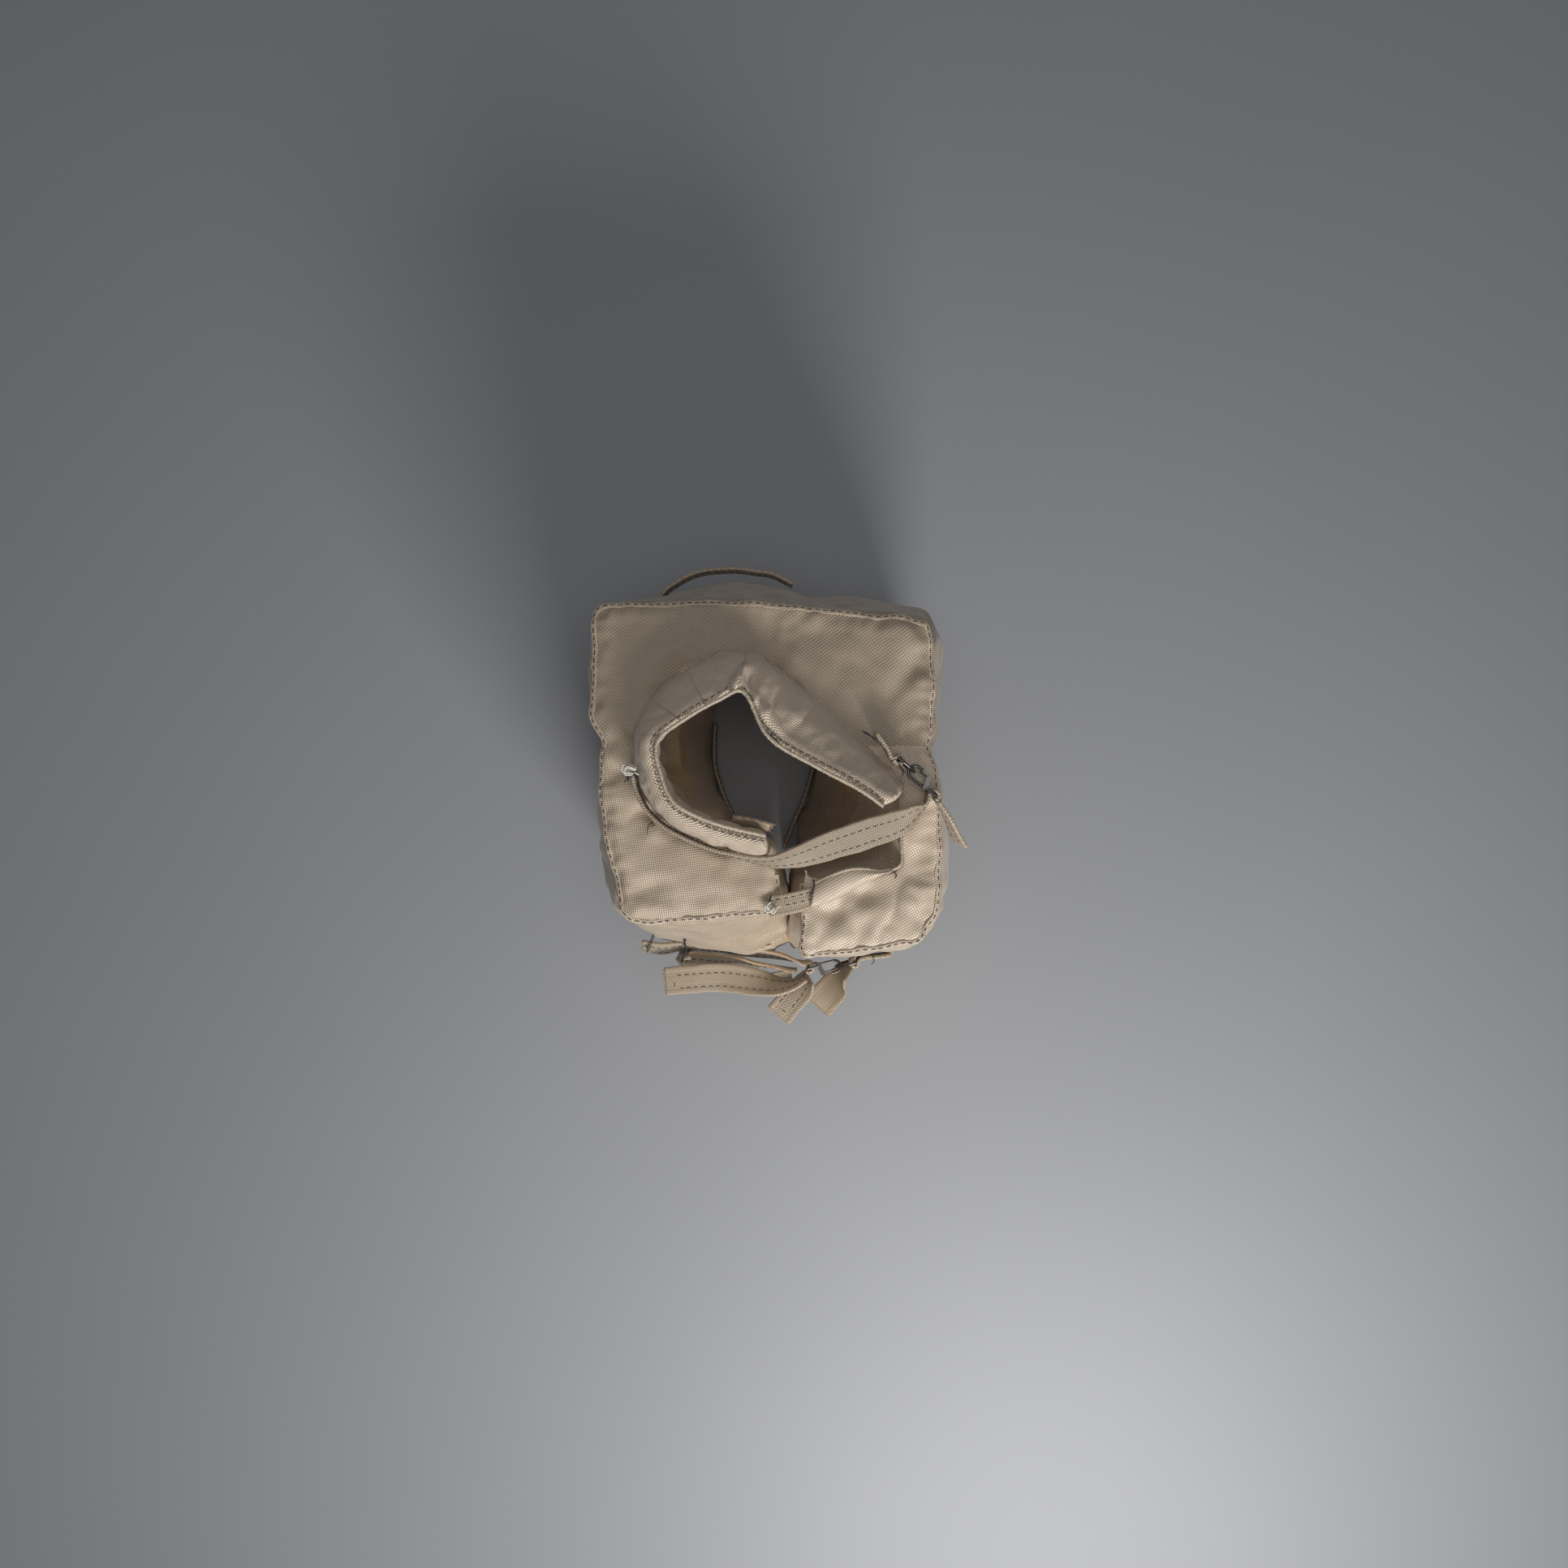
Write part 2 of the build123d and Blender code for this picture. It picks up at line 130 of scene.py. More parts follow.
def fabric(name, pale, groove, ribs, pitch, rough, depth=0.09, cross=None, gloss=1.0):
    """Woven cloth: ribs broken into beads by a crossing thread, with painted shade in the grooves between
    them, slow colour drift, creases of wear.
    """
    made = bpy.data.materials.new(name)
    made.use_nodes = True
    tree = made.node_tree
    shader = tree.nodes["Principled BSDF"]
    where = node(tree, "ShaderNodeTexCoord").outputs["UV"]
    wander = node(tree, "ShaderNodeTexNoise", Scale=260, Detail=2)
    tree.links.new(where, wander.inputs["Vector"])
    moved = node(tree, "ShaderNodeVectorMath", operation="MULTIPLY_ADD")
    tree.links.new(wander.outputs["Color"], moved.inputs[0])
    moved.inputs[1].default_value = (0.0001,) * 3
    tree.links.new(where, moved.inputs[2])
    rib = wave(tree, moved.outputs[0], ribs, pitch)
    weft = wave(tree, moved.outputs[0], cross or (-ribs[1], ribs[0], 0), pitch * 1.1)
    fine = node(tree, "ShaderNodeTexNoise", Scale=2600, Detail=2)
    drift = node(tree, "ShaderNodeTexNoise", Scale=55, Detail=3)
    for texture in (fine, drift):
        tree.links.new(where, texture.inputs["Vector"])
    both = node(tree, "ShaderNodeMath", operation="MULTIPLY_ADD")
    tree.links.new(weft, both.inputs[0])
    both.inputs[1].default_value = 0.6
    tree.links.new(rib, both.inputs[2])
    height = node(tree, "ShaderNodeMath", operation="MULTIPLY_ADD")
    tree.links.new(fine.outputs[0], height.inputs[0])
    height.inputs[1].default_value = 0.4
    tree.links.new(both.outputs[0], height.inputs[2])
    shade = node(tree, "ShaderNodeMapRange")
    tree.links.new(height.outputs[0], shade.inputs[0])
    shade.inputs[1].default_value, shade.inputs[2].default_value = 0.3, 1.5
    # The groove colour where the weave is low is painted shade in its hollows
    woven = mixed(tree, shade.outputs[0], groove, pale)
    worn = mixed(tree, drift.outputs[0], (0.86, 0.84, 0.80), (1.06, 1.06, 1.06))
    colour = mixed(tree, 0.8, woven, worn, "MULTIPLY")
    tree.links.new(colour, shader.inputs["Base Color"])
    blur = node(tree, "ShaderNodeMapRange")
    tree.links.new(fine.outputs[0], blur.inputs[0])
    blur.inputs[3].default_value, blur.inputs[4].default_value = rough - 0.06, rough + 0.1
    tree.links.new(blur.outputs[0], shader.inputs["Roughness"])
    shader.inputs["Specular IOR Level"].default_value = gloss
    shader.inputs["Sheen Weight"].default_value = SHEEN
    shader.inputs["Sheen Roughness"].default_value = SHEEN_ROUGHNESS
    shader.inputs["Sheen Tint"].default_value = SHEEN_TINT
    bump = node(tree, "ShaderNodeBump", Strength=0.8)
    bump.inputs["Distance"].default_value = depth * MM
    tree.links.new(height.outputs[0], bump.inputs["Height"])
    tree.links.new(bump.outputs[0], shader.inputs["Normal"])
    return made


def twisted(name, colour, rough, metal=0.0, scale=900, depth=0.03):
    """Thread or wire: fine grain along it, in the object's own space."""
    made = bpy.data.materials.new(name)
    made.use_nodes = True
    tree = made.node_tree
    shader = tree.nodes["Principled BSDF"]
    grain = node(tree, "ShaderNodeTexNoise", Scale=scale, Detail=3)
    tree.links.new(node(tree, "ShaderNodeTexCoord").outputs["Object"], grain.inputs["Vector"])
    dark = tuple(c * 0.6 for c in colour)
    light = tuple(min(1, c * 1.35) for c in colour)
    tree.links.new(mixed(tree, grain.outputs[0], dark, light), shader.inputs["Base Color"])
    blur = node(tree, "ShaderNodeMapRange")
    tree.links.new(grain.outputs[0], blur.inputs[0])
    blur.inputs[3].default_value, blur.inputs[4].default_value = rough - 0.12, rough + 0.12
    tree.links.new(blur.outputs[0], shader.inputs["Roughness"])
    shader.inputs["Metallic"].default_value = metal
    bump = node(tree, "ShaderNodeBump", Strength=0.5)
    bump.inputs["Distance"].default_value = depth * MM
    tree.links.new(grain.outputs[0], bump.inputs["Height"])
    tree.links.new(bump.outputs[0], shader.inputs["Normal"])
    return made


# PALE is the cloth's own colour on the rib tops; the groove colours are painted shade in the weave's hollows
PALE, GROOVE = (0.74, 0.615, 0.475), (0.41, 0.31, 0.215)
# The back's cloth is the same canvas painted darker than PALE: painted shade over the back panel
SHADED_BACK, SHADED_BACK_GROOVE = (0.49, 0.40, 0.30), (0.30, 0.225, 0.15)
CANVAS = {
    "back": fabric("canvas_back", SHADED_BACK, SHADED_BACK_GROOVE, (0.82, 0.57, 0), 0.60, rough=0.46, gloss=0.7),
    # The left front's cloth is PALE painted a little darker: painted shade
    "left_front": fabric("canvas_left_front", (0.58, 0.47, 0.355), (0.37, 0.28, 0.19), (1.0, 0.12, 0), 0.50,
                         rough=0.44, gloss=0.8),
    "right_front": fabric("canvas_right_front", PALE, GROOVE, (0.87, 0.5, 0), 0.55, rough=0.38),
    "collar": fabric("canvas_collar", PALE, GROOVE, (0.6, 0.8, 0), 0.58, rough=0.44, depth=0.12),
    # Darker, warmer cloth for the inner walls of the neck and the front gap, and the facing between the front
    # pads: painted shade in those hollows
    "lining": fabric("lining", (0.60, 0.445, 0.28), (0.36, 0.25, 0.14), (0.8, 0.6, 0), 0.55, rough=0.5,
                     gloss=0.5),
}
WEBBING = fabric("woven_tape", (0.50, 0.405, 0.29), (0.29, 0.215, 0.135), (0.75, 1, 0), 0.42, rough=0.45,
                 cross=(1, -0.4, 0))
WORN = fabric("worn_tape", (0.40, 0.32, 0.225), (0.22, 0.16, 0.10), (0.75, 1, 0), 0.42, rough=0.42,
              cross=(1, -0.4, 0))
SATIN = fabric("satin_tape", (0.45, 0.345, 0.225), (0.29, 0.205, 0.12), (0.2, 1, 0), 0.40, rough=0.36,
               cross=(1, 0, 0))
LOCKED = twisted("overlock_thread", (0.56, 0.475, 0.365), 0.75, scale=2200, depth=0.12)
FRAYED = twisted("frayed_fibre", (0.60, 0.44, 0.27), 0.75, scale=2200, depth=0.12)
BLACK = twisted("charcoal_thread", (0.030, 0.031, 0.036), 0.6)
WHITE = twisted("undyed_thread", (0.62, 0.58, 0.50), 0.7)
SELVEDGE = twisted("lit_selvedge", (0.50, 0.33, 0.17), 0.6, scale=1800, depth=0.08)
STEEL = twisted("wire_steel", (0.115, 0.11, 0.105), 0.36, metal=1.0, scale=500, depth=0.015)


# ---------------------------------------------------------------- meshes


def piece(name, verts, faces, skin, body="vest", blend=None):
    """A mesh object in the frame from millimetre points, on a body, or with its place baked in where blend is
    given.
    """
    mesh = bpy.data.meshes.new(name)
    mesh.from_pydata(to_frame(verts).tolist(), [], faces)
    mesh.update()
    mesh.polygons.foreach_set("use_smooth", [True] * len(mesh.polygons))
    made = bpy.data.objects.new(name, mesh)
    bpy.context.collection.objects.link(made)
    return dress(made, skin, body, blend)


def dress(made, skin, body="vest", blend=None):
    made.data.materials.clear()
    made.data.materials.append(skin)
    if blend:
        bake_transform(made)
    else:
        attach(made, body)
    return made


def baked(made):
    """Applies what modifiers the object has, so that a plain mesh is left."""
    bpy.context.view_layer.update()
    graph = bpy.context.evaluated_depsgraph_get()
    mesh = bpy.data.meshes.new_from_object(made.evaluated_get(graph))
    made.modifiers.clear()
    made.data = mesh
    return made


def points_of(made):
    flat = np.empty(3 * len(made.data.vertices))
    made.data.vertices.foreach_get("co", flat)
    return to_vest(flat.reshape(-1, 3))


def normals_of(made):
    flat = np.empty(3 * len(made.data.vertices))
    made.data.vertices.foreach_get("normal", flat)
    return flat.reshape(-1, 3)


def place(made, points):
    made.data.vertices.foreach_set("co", to_frame(points).ravel())
    made.data.update()


def curve_through(rows, step):
    """A smooth line through the rows of numbers, with a row about every step of length."""
    rows = np.asarray(rows, float)
    ends = np.vstack([2 * rows[0] - rows[1], rows, 2 * rows[-1] - rows[-2]])
    out = []
    for a, b, c, d in zip(ends, ends[1:], ends[2:], ends[3:]):
        count = max(2, int(np.linalg.norm((c - b)[:3]) / step))
        t = np.arange(count)[:, None] / count
        out.append(0.5 * (2 * b + (c - a) * t + (2 * a - 5 * b + 4 * c - d) * t * t
                          + (3 * b - a - 3 * c + d) * t ** 3))
    return np.vstack(out + [rows[-1:]])


def unit(rows):
    return rows / np.maximum(np.linalg.norm(rows, axis=-1, keepdims=True), 1e-9)


def wobble(count, size, run):
    """Smooth random values, one per station, size large and run stations long."""
    knots = rng.normal(0, size, count // run + 3)
    return np.interp(np.arange(count) / run, np.arange(len(knots)), knots)


def weave_uv(made, line):
    """Lays the weave along a line and upright. On the vest it lies flat on top and square on each wall."""
    points = points_of(made)
    far, along = near_line(points * (1, 1, 0), np.column_stack([np.array(line)[:, :2], np.zeros(len(line))]))
    layer = made.data.uv_layers.new(name="weave")
    boxed = made.name == "vest_pads"
    for face in made.data.polygons:
        for i in face.loop_indices:
            v = made.data.loops[i].vertex_index
            x, y, z = points[v]
            if boxed and face.normal.z > 0.55:
                spot = (x, y)
            elif boxed:
                spot = (y if abs(face.normal.x) > abs(face.normal.y) else x, z + far[v])
            else:
                spot = (along[v], z + far[v])
            layer.data[i].uv = (spot[0] * MM, spot[1] * MM)


def tube_faces(rings, sides):
    """Quads between rings of points, with a cap at each end."""
    faces = []
    for i in range(rings - 1):
        a, b = i * sides, (i + 1) * sides
        faces += [(a + k, a + (k + 1) % sides, b + (k + 1) % sides, b + k) for k in range(sides)]
    faces.append(tuple(range(sides))[::-1])
    faces.append(tuple(range((rings - 1) * sides, rings * sides)))
    return faces


def lengths_along(path):
    """How far along a path each of its points is."""
    return np.concatenate([[0], np.cumsum(np.linalg.norm(np.diff(path, axis=0), axis=1))])


def at_lengths(wanted, length, field):
    """The field's rows at some lengths along its path."""
    return np.stack([np.interp(wanted, length, field[:, c]) for c in range(3)], 1)


def rails(path, roll):
    """Travel, across and outward directions along a path, for a tape's roll in degrees."""
    travel = unit(np.gradient(path, axis=0))
    level = unit(np.cross(UP, travel))
    turn = np.radians(roll)[:, None]
    across = level * np.cos(turn) + np.cross(travel, level) * np.sin(turn)
    return travel, across, np.cross(travel, across)


# Half of a tape's section, as shares of its half width, and how thick it is there: two stitched
# grooves and a soft folded edge
HALF = [(0, 0.88), (0.2, 0.92), (0.3, 0.9), (0.36, 0.78), (0.42, 0.9), (0.5, 0.92), (0.56, 0.78),
        (0.62, 0.94), (0.75, 1.0), (0.9, 1.0), (0.97, 0.8), (1.0, 0.35)]


def tape(name, route, width=TAPE_WIDTH, skin=None, body="vest", rows=(0.36, -0.56), blend=None,
         box_end=0.0, stitched=True, frayed=(False, True)):
    """A folded and stitched tape along (x, y, z, roll) stations, with its thread.

    rows are the stitch lines as shares of the half width, box_end is how far from the end a line of
    stitches closes them, and frayed says which of the two ends is raw.
    """
    run = curve_through(route, 0.45)
    path = run[:, :3]
    count = len(path)
    travel, across, out = rails(path, run[:, 3])
    path = path + out * wobble(count, 0.10, 9)[:, None]
    profile = [(u, t) for u, t in HALF] + [(u, -t) for u, t in reversed(HALF)]
    profile += [(-u, -t) for u, t in HALF[1:]] + [(-u, t) for u, t in reversed(HALF[1:])]
    sides = len(profile)
    left, right = wobble(count, 0.07, 5), wobble(count, 0.07, 5)
    verts = []
    for i in range(count):
        for u, t in profile:
            edge = (left if u < 0 else right)[i] * abs(u)
            verts.append(path[i] + across[i] * (u * width / 2 + edge) + out[i] * t * TAPE / 2)
    made = piece(name, verts, tube_faces(count, sides), skin or WEBBING, body, blend)
    layer = made.data.uv_layers.new(name="weave")
    length = lengths_along(path)
    for loop in made.data.loops:
        i, k = divmod(loop.vertex_index, sides)
        layer.data[loop.index].uv = (length[i] * MM, profile[k][0] * width / 2 * MM)
    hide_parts(name.removesuffix("_tape"))
    parts = [made]
    if stitched:
        lines = []
        for side in (1, -1):
            for u in rows:
                lines.append((path + across * (u * width / 2) + out * side * TAPE * 0.40, out * side))
            if box_end:
                stop = int(np.searchsorted(length, length[-1] - box_end))
                span = np.linspace(rows[0], rows[-1], 10)[:, None] * width / 2
                lines.append((path[stop] + across[stop] * span + out[stop] * side * TAPE * 0.42,
                              np.repeat(out[stop:stop + 1] * side, 10, axis=0)))
        parts.append(stitches(name + "_thread", lines, body, blend, stop=box_end))
    fibres = []
    for at_end, wanted in zip((0, -1), frayed):
        if wanted:
            heading = travel[at_end] * (1 if at_end else -1)
            for _ in range(FIBRES_PER_END):
                root = path[at_end] + across[at_end] * rng.uniform(-0.48, 0.48) * width
                root = root + out[at_end] * rng.uniform(-0.4, 0.4) * TAPE
                fibres.append(fibre(root, heading + rng.normal(0, 0.45, 3), rng.uniform(0.3, 1.0)))
    if fibres:
        parts.append(threads(name + "_frayed", fibres, FIBRE_RADIUS, FRAYED, body, blend))
    return parts


def fibre(root, heading, length):
    """A short bent thread from a root."""
    heading = heading / np.linalg.norm(heading)
    bend = rng.normal(0, 0.35, 3)
    return [root - heading * 0.15 + (heading * t + bend * t * t) * length for t in (0, 0.35, 0.7, 1.0)]


def threads(name, paths, radius, skin, body="vest", blend=None):
    """Thin round threads along the paths, as one piece, each drawn in at its ends."""
    verts, faces = [], []
    for path in paths:
        path = np.asarray(path, float)
        travel = unit(np.gradient(path, axis=0))
        side = unit(np.cross(travel, [0.31, 0.22, 0.93]))
        other = np.cross(travel, side)
        start = len(verts)
        for i, p in enumerate(path):
            size = radius * (0.6 if i in (0, len(path) - 1) else 1)
            for k in range(THREAD_SIDES):
                a = 2 * math.pi * k / THREAD_SIDES
                verts.append(p + size * (side[i] * math.cos(a) + other[i] * math.sin(a)))
        faces += [tuple(start + v for v in f) for f in tube_faces(len(path), THREAD_SIDES)]
    return piece(name, verts, faces, skin, body, blend)


def stitches(name, lines, body="vest", blend=None, stop=0.0, radius=THREAD / 2):
    """Machine stitches: short threads that rise from and sink back into the cloth."""
    paths = []
    for path, normal in lines:
        length = lengths_along(path)
        end = length[-1] - (stop if length[-1] > 9 else 0)
        at = rng.uniform(0, 0.5)
        while at + STITCH < end:
            long = STITCH * rng.uniform(0.9, 1.08)
            s = at + np.array([0, 0.2, 0.5, 0.8, 1]) * long
            rise = np.array([-1.2, 0.3, 0.6, 0.3, -1.2]) * radius
            paths.append(at_lengths(s, length, path) + at_lengths(s, length, normal) * rise[:, None])
            at += STITCH_PITCH * rng.uniform(0.94, 1.06)
    return threads(name, paths, radius, BLACK, body, blend)


# ---------------------------------------------------------------- pads


def remeshed(name, nodes, voxel, rounds):
    """One closed skin round some CAD nodes, softened."""
    shell = bmesh.new()
    for each in nodes:
        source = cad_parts[each]
        copy = source.data.copy()
        copy.transform(source.matrix_world)
        shell.from_mesh(copy)
    bmesh.ops.remove_doubles(shell, verts=shell.verts, dist=0.002 * MM)
    mesh = bpy.data.meshes.new(name)
    shell.to_mesh(mesh)
    shell.free()
    made = bpy.data.objects.new(name, mesh)
    bpy.context.collection.objects.link(made)
    remesh = made.modifiers.new("voxels", "REMESH")
    remesh.mode, remesh.voxel_size = "VOXEL", voxel * MM
    soften = made.modifiers.new("soften", "SMOOTH")
    soften.factor, soften.iterations = 0.5, rounds
    return baked(made)


def inflated(made, pinned, pressure, limit):
    """Cloth simulation of the stuffed shell under pressure, its moves then capped at limit."""
    rest = points_of(made)
    made.data.transform(Matrix.Scale(SIM_SCALE, 4))
    made.data.update()
    pins = made.vertex_groups.new(name="pins")
    pins.add([int(i) for i in np.flatnonzero(pinned)], 1.0, "REPLACE")
    cloth = made.modifiers.new("cloth", "CLOTH")
    facts = cloth.settings
    facts.quality = 4
    facts.mass = 0.3
    facts.tension_stiffness = facts.compression_stiffness = 12
    facts.shear_stiffness = 5
    facts.bending_stiffness = 0.6
    facts.use_pressure = True
    facts.uniform_pressure_force = pressure
    facts.shrink_min = -SIM_SLACK
    facts.vertex_group_mass = "pins"
    facts.effector_weights.gravity = 0
    cloth.point_cache.frame_start, cloth.point_cache.frame_end = 1, SIM_FRAMES
    for number in range(1, SIM_FRAMES + 1):
        bpy.context.scene.frame_set(number)
    graph = bpy.context.evaluated_depsgraph_get()
    flat = np.empty(3 * len(rest))
    made.evaluated_get(graph).data.vertices.foreach_get("co", flat)
    made.modifiers.clear()
    made.vertex_groups.clear()
    bpy.context.scene.frame_set(1)
    made.data.transform(Matrix.Scale(1 / SIM_SCALE, 4))
    moved = to_vest(flat.reshape(-1, 3) / SIM_SCALE) - rest
    size = np.linalg.norm(moved, axis=1, keepdims=True)
    place(made, rest + moved * np.minimum(1, limit / np.maximum(size, 1e-6)))


def near_line(points, line):
    """Distance from each point to a polyline, and how far along it the nearest place is."""
    best = np.full(len(points), 1e9)
    along = np.zeros(len(points))
    run = 0.0
    for a, b in zip(line[:-1], line[1:]):
        edge = b - a
        size = np.linalg.norm(edge)
        t = np.clip((points - a) @ edge / size ** 2, 0, 1)
        far = np.linalg.norm(points - a - t[:, None] * edge, axis=1)
        closer = far < best
        best[closer] = far[closer]
        along[closer] = run + t[closer] * size
        run += size
    return best, along


def sculpted(made, dents=(), folds=(), puckers=(), grain=0.0):
    """Moves the skin along its normals: round dents, long folds, and ripples beside a seam."""
    points, normals = points_of(made), normals_of(made)
    move = np.zeros(len(points))
    for centre, radius, height in dents:
        reach = np.linalg.norm((points - centre) / radius, axis=1)
        move += height * np.exp(-reach ** 2)
    for line, width, height in folds:
        far, _ = near_line(points, np.array(line, float))
        move += height * np.exp(-(far / width) ** 2)
    for line, reach, height, pitch in puckers:
        far, along = near_line(points, line)
        phase = along * 2 * math.pi / pitch + 1.3 * np.sin(along * 0.31) + 0.9 * np.sin(along * 0.83)
        move += height * np.sin(phase) * np.exp(-((far - 1.2) / reach) ** 2)
    if grain:
        for i, p in enumerate(points):
            move[i] += grain * noise.noise(Vector(p) * 0.16) + 0.35 * grain * noise.noise(Vector(p) * 0.5)
    place(made, points + normals * move[:, None])


def pressed(made, others):
    """Pushes the skin in where a tape lies on it."""
    points, normals = points_of(made), normals_of(made)
    for other in others:
        tree = BVHTree.FromPolygons([tuple(p) for p in points_of(other)],
                                    [tuple(f.vertices) for f in other.data.polygons])
        low, high = points_of(other).min(0) - 3, points_of(other).max(0) + 3
        for i in np.flatnonzero(np.all((points > low) & (points < high), axis=1)):
            start = Vector(points[i] - normals[i] * PRESS_DEPTH)
            hit = tree.ray_cast(start, Vector(normals[i]), PRESS_DEPTH + PRESS_MARGIN)
            if hit[0] is not None:
                points[i] -= normals[i] * (PRESS_DEPTH + PRESS_MARGIN - hit[3])
    place(made, points)


def skin_of(made):
    """A finder of the nearest place on a piece's skin, and of the way out from it."""
    tree = BVHTree.FromPolygons([tuple(p) for p in points_of(made)],
                                [tuple(f.vertices) for f in made.data.polygons])

    def find(point):
        spot, normal, _, _ = tree.find_nearest(Vector(point))
        return np.array(spot), np.array(normal)

    return find


def laid(find, path, rounds=1):
    """A path moved on to a skin and eased, with the outward directions along it."""
    path = np.array(path, float)
    for _ in range(rounds):
        path = np.array([find(p)[0] for p in path])
        path[2:-2] = (path[:-4] + path[1:-3] + path[2:-2] + path[3:-1] + path[4:]) / 5
    normals = np.array([find(p)[1] for p in path])
    normals[1:-1] = (normals[:-2] + normals[1:-1] + normals[2:]) / 3
    return path, unit(normals)


SHOULDER_LINE = [
    (6.5, -24), (6.5, -34), (6.5, -41.5), (20, -40), (34, -38), (38.5, -32), (38.8, -19), (38.5, -6),
    (36.5, 8), (36.9, 22), (36.5, 35.3), (34.9, 37.2), (16, 39.4), (6, 40.4), (-4, 41.4), (-16, 41.6),
    (-28, 41.5), (-40.4, 41.1), (-42, 39.6), (-42.2, 27), (-42, 14), (-40, 8), (-40, -6), (-38.3, -18),
    (-36, -30), (-31, -34), (-15, -32.3), (1, -30.5), (1, -22),
]
HEM_LINE = [
    (6, -28), (6, -38), (20, -38.8), (32, -38), (38, -32), (39.2, -19), (39, -6), (38.5, 8), (38.6, 22),
    (37, 35.2), (35.2, 37.2), (16, 39.2), (-4, 40), (-27, 40.1), (-37.4, 39.2), (-39.2, 37.4), (-40.2, 26),
    (-40, 14), (-39.5, 8), (-39, -6), (-37.8, -18), (-36, -30), (-31, -36), (-15, -36.8), (1, -36), (1, -28),
]
NECK_WALL = [(3, -20), (9, -5), (13, 8), (9, 24), (-5, 29), (-16, 26), (-18.5, 10), (-16, -4), (-5, -20)]
TOP_EDGE = np.array([(x, y, PANEL_TOP) for x, y in SHOULDER_LINE])
HEM_EDGE = np.array([(x, y, 0.6) for x, y in HEM_LINE])
PADS = ("back", "left_front", "right_front")
GAP_X = 3.75

# Dents are (centre, reach, height); folds are (line, width, height)
DENTS = [
    ((-14, 36, 89), (9, 4, 6), -0.6), ((20, 28, 89), (9, 6, 6), 0.7), ((33, 33, 88), (5, 5, 6), 1.0),
    ((8, 35, 89), (8, 3, 6), -0.7), ((-34, 32, 89), (5, 6, 6), 0.6), ((27, 20, 89), (4, 8, 6), -0.5),
    ((-38, -24, 88), (4, 5, 5), -1.1), ((-35, -27, 88), (2.5, 2.5, 4), 0.9), ((-30, -20, 89), (6, 5, 5), 0.7),
    ((-12, -25, 89), (8, 3, 5), 0.6), ((-3, -25, 89), (3, 5, 5), -0.6),
    ((13.5, -30.5, 89), (4.5, 2.4, 5), -1.9), ((21.5, -26.8, 89), (4.5, 2.2, 5), -1.7),
    ((17.5, -30.5, 89), (1.6, 4, 5), 1.0), ((36, -36.5, 86), (1.8, 1.8, 4), -1.6),
    ((30, -30, 88), (5, 5, 5), 0.9),
    ((22, -37, 89), (10, 2.5, 5), 0.5), ((34, -18, 89), (3, 7, 5), -0.6), ((31, -24, 89), (3, 5, 5), 0.5),
    ((-42.5, 9.5, 86), (3.0, 2.6, 8), -1.9), ((38.5, 7, 86), (3.2, 1.8, 8), -1.2),
    ((39, 13, 80), (3, 4, 9), 0.9), ((41, 33, 80), (4, 5, 9), 0.9), ((38, -32, 82), (4, 3, 8), -0.9),
    ((-2.5, -40, 54), (10, 8, 16), 5.2), ((-16, -41, 54), (8, 6, 13), 1.9),
    ((44, 0, 28), (8, 34, 24), -1.4), ((-37, -33, 80), (5, 4, 8), 1.0), ((-44, -8, 78), (3, 8, 9), 0.7),
    ((-44, 24, 78), (3, 8, 9), 0.6),
]
FOLDS = [
    ([(37, 8.5, 88), (30.5, 9.5, 89.5)], 1.0, -0.7), ([(37, 10.4, 88), (31, 11.6, 89.5)], 0.9, 0.5),
    ([(-41, 9, 88), (-35, 9.5, 89.5)], 1.1, -0.8), ([(-40, 11, 88), (-36, 11.5, 89.5)], 0.9, 0.5),
    ([(36, 30, 89), (30, 24, 90), (26, 17, 90)], 1.8, -0.6), ([(35, 24, 89), (29, 18, 90)], 1.4, 0.5),
    ([(-37, -28, 88), (-27, -24, 90)], 1.6, -0.7), ([(-35, -31, 88), (-25, -29, 90)], 1.3, 0.45),
    ([(36, -34, 88), (27, -27, 90)], 1.6, -0.6), ([(10, -36, 88), (16, -31, 90)], 1.5, -0.6),
    ([(8, -27, 88), (13, -27, 90)], 1.4, 0.6), ([(-39, 0, 88), (-33, 3, 90)], 1.4, -0.5),
]


def wall_folds():
    """Long soft folds down the walls, and deeper ones down the inner walls of the neck."""
    folds = []
    for line, count, deep in ((SHOULDER_LINE[2:-1], 110, 0.75), (NECK_WALL, 34, 1.3)):
        for _ in range(count):
            i = rng.integers(len(line) - 1)
            start, end = np.array(line[i], float), np.array(line[i + 1], float)
            spot = start + (end - start) * rng.uniform()
            if deep < 1:
                spot = spot * 1.07
            z, lean = rng.uniform(8, 58), rng.uniform(-4, 4, 2)
            folds.append(([(*spot, z), (*(spot + lean), z + rng.uniform(14, 34))], rng.uniform(1.2, 2.8),
                          rng.choice([-1, 1]) * rng.uniform(0.4, 1) * deep))
    return folds


def crowned(points):
    """The top stands highest beside the shoulder seam and falls toward the front and the back."""
    x, y, z = points.T
    top = np.clip((z - 78) / 8, 0, 1)
    lengthwise = np.cos(np.clip((y - 2) / 40, -1, 1) * math.pi / 2)
    crosswise = np.cos(np.clip(x / 44, -1, 1) * math.pi / 2)
    return points + np.outer((1.5 * lengthwise + 0.5 * crosswise - 0.7) * top, UP)


def belly_out(points, normals):
    """The two walls of the front gap swell toward each other."""
    x, y, z = points.T
    swell = np.clip((-18 - y) / 8, 0, 1) * np.clip((z - 6) / 14, 0, 1) * np.clip((87 - z) / 10, 0, 1)
    near = np.exp(-((x - GAP_X) / 5) ** 2) * np.clip(abs(normals[:, 0]) * 1.6, 0, 1)
    return points + np.sign(GAP_X - x)[:, None] * [1.0, 0, 0] * (2.7 * swell * near)[:, None]


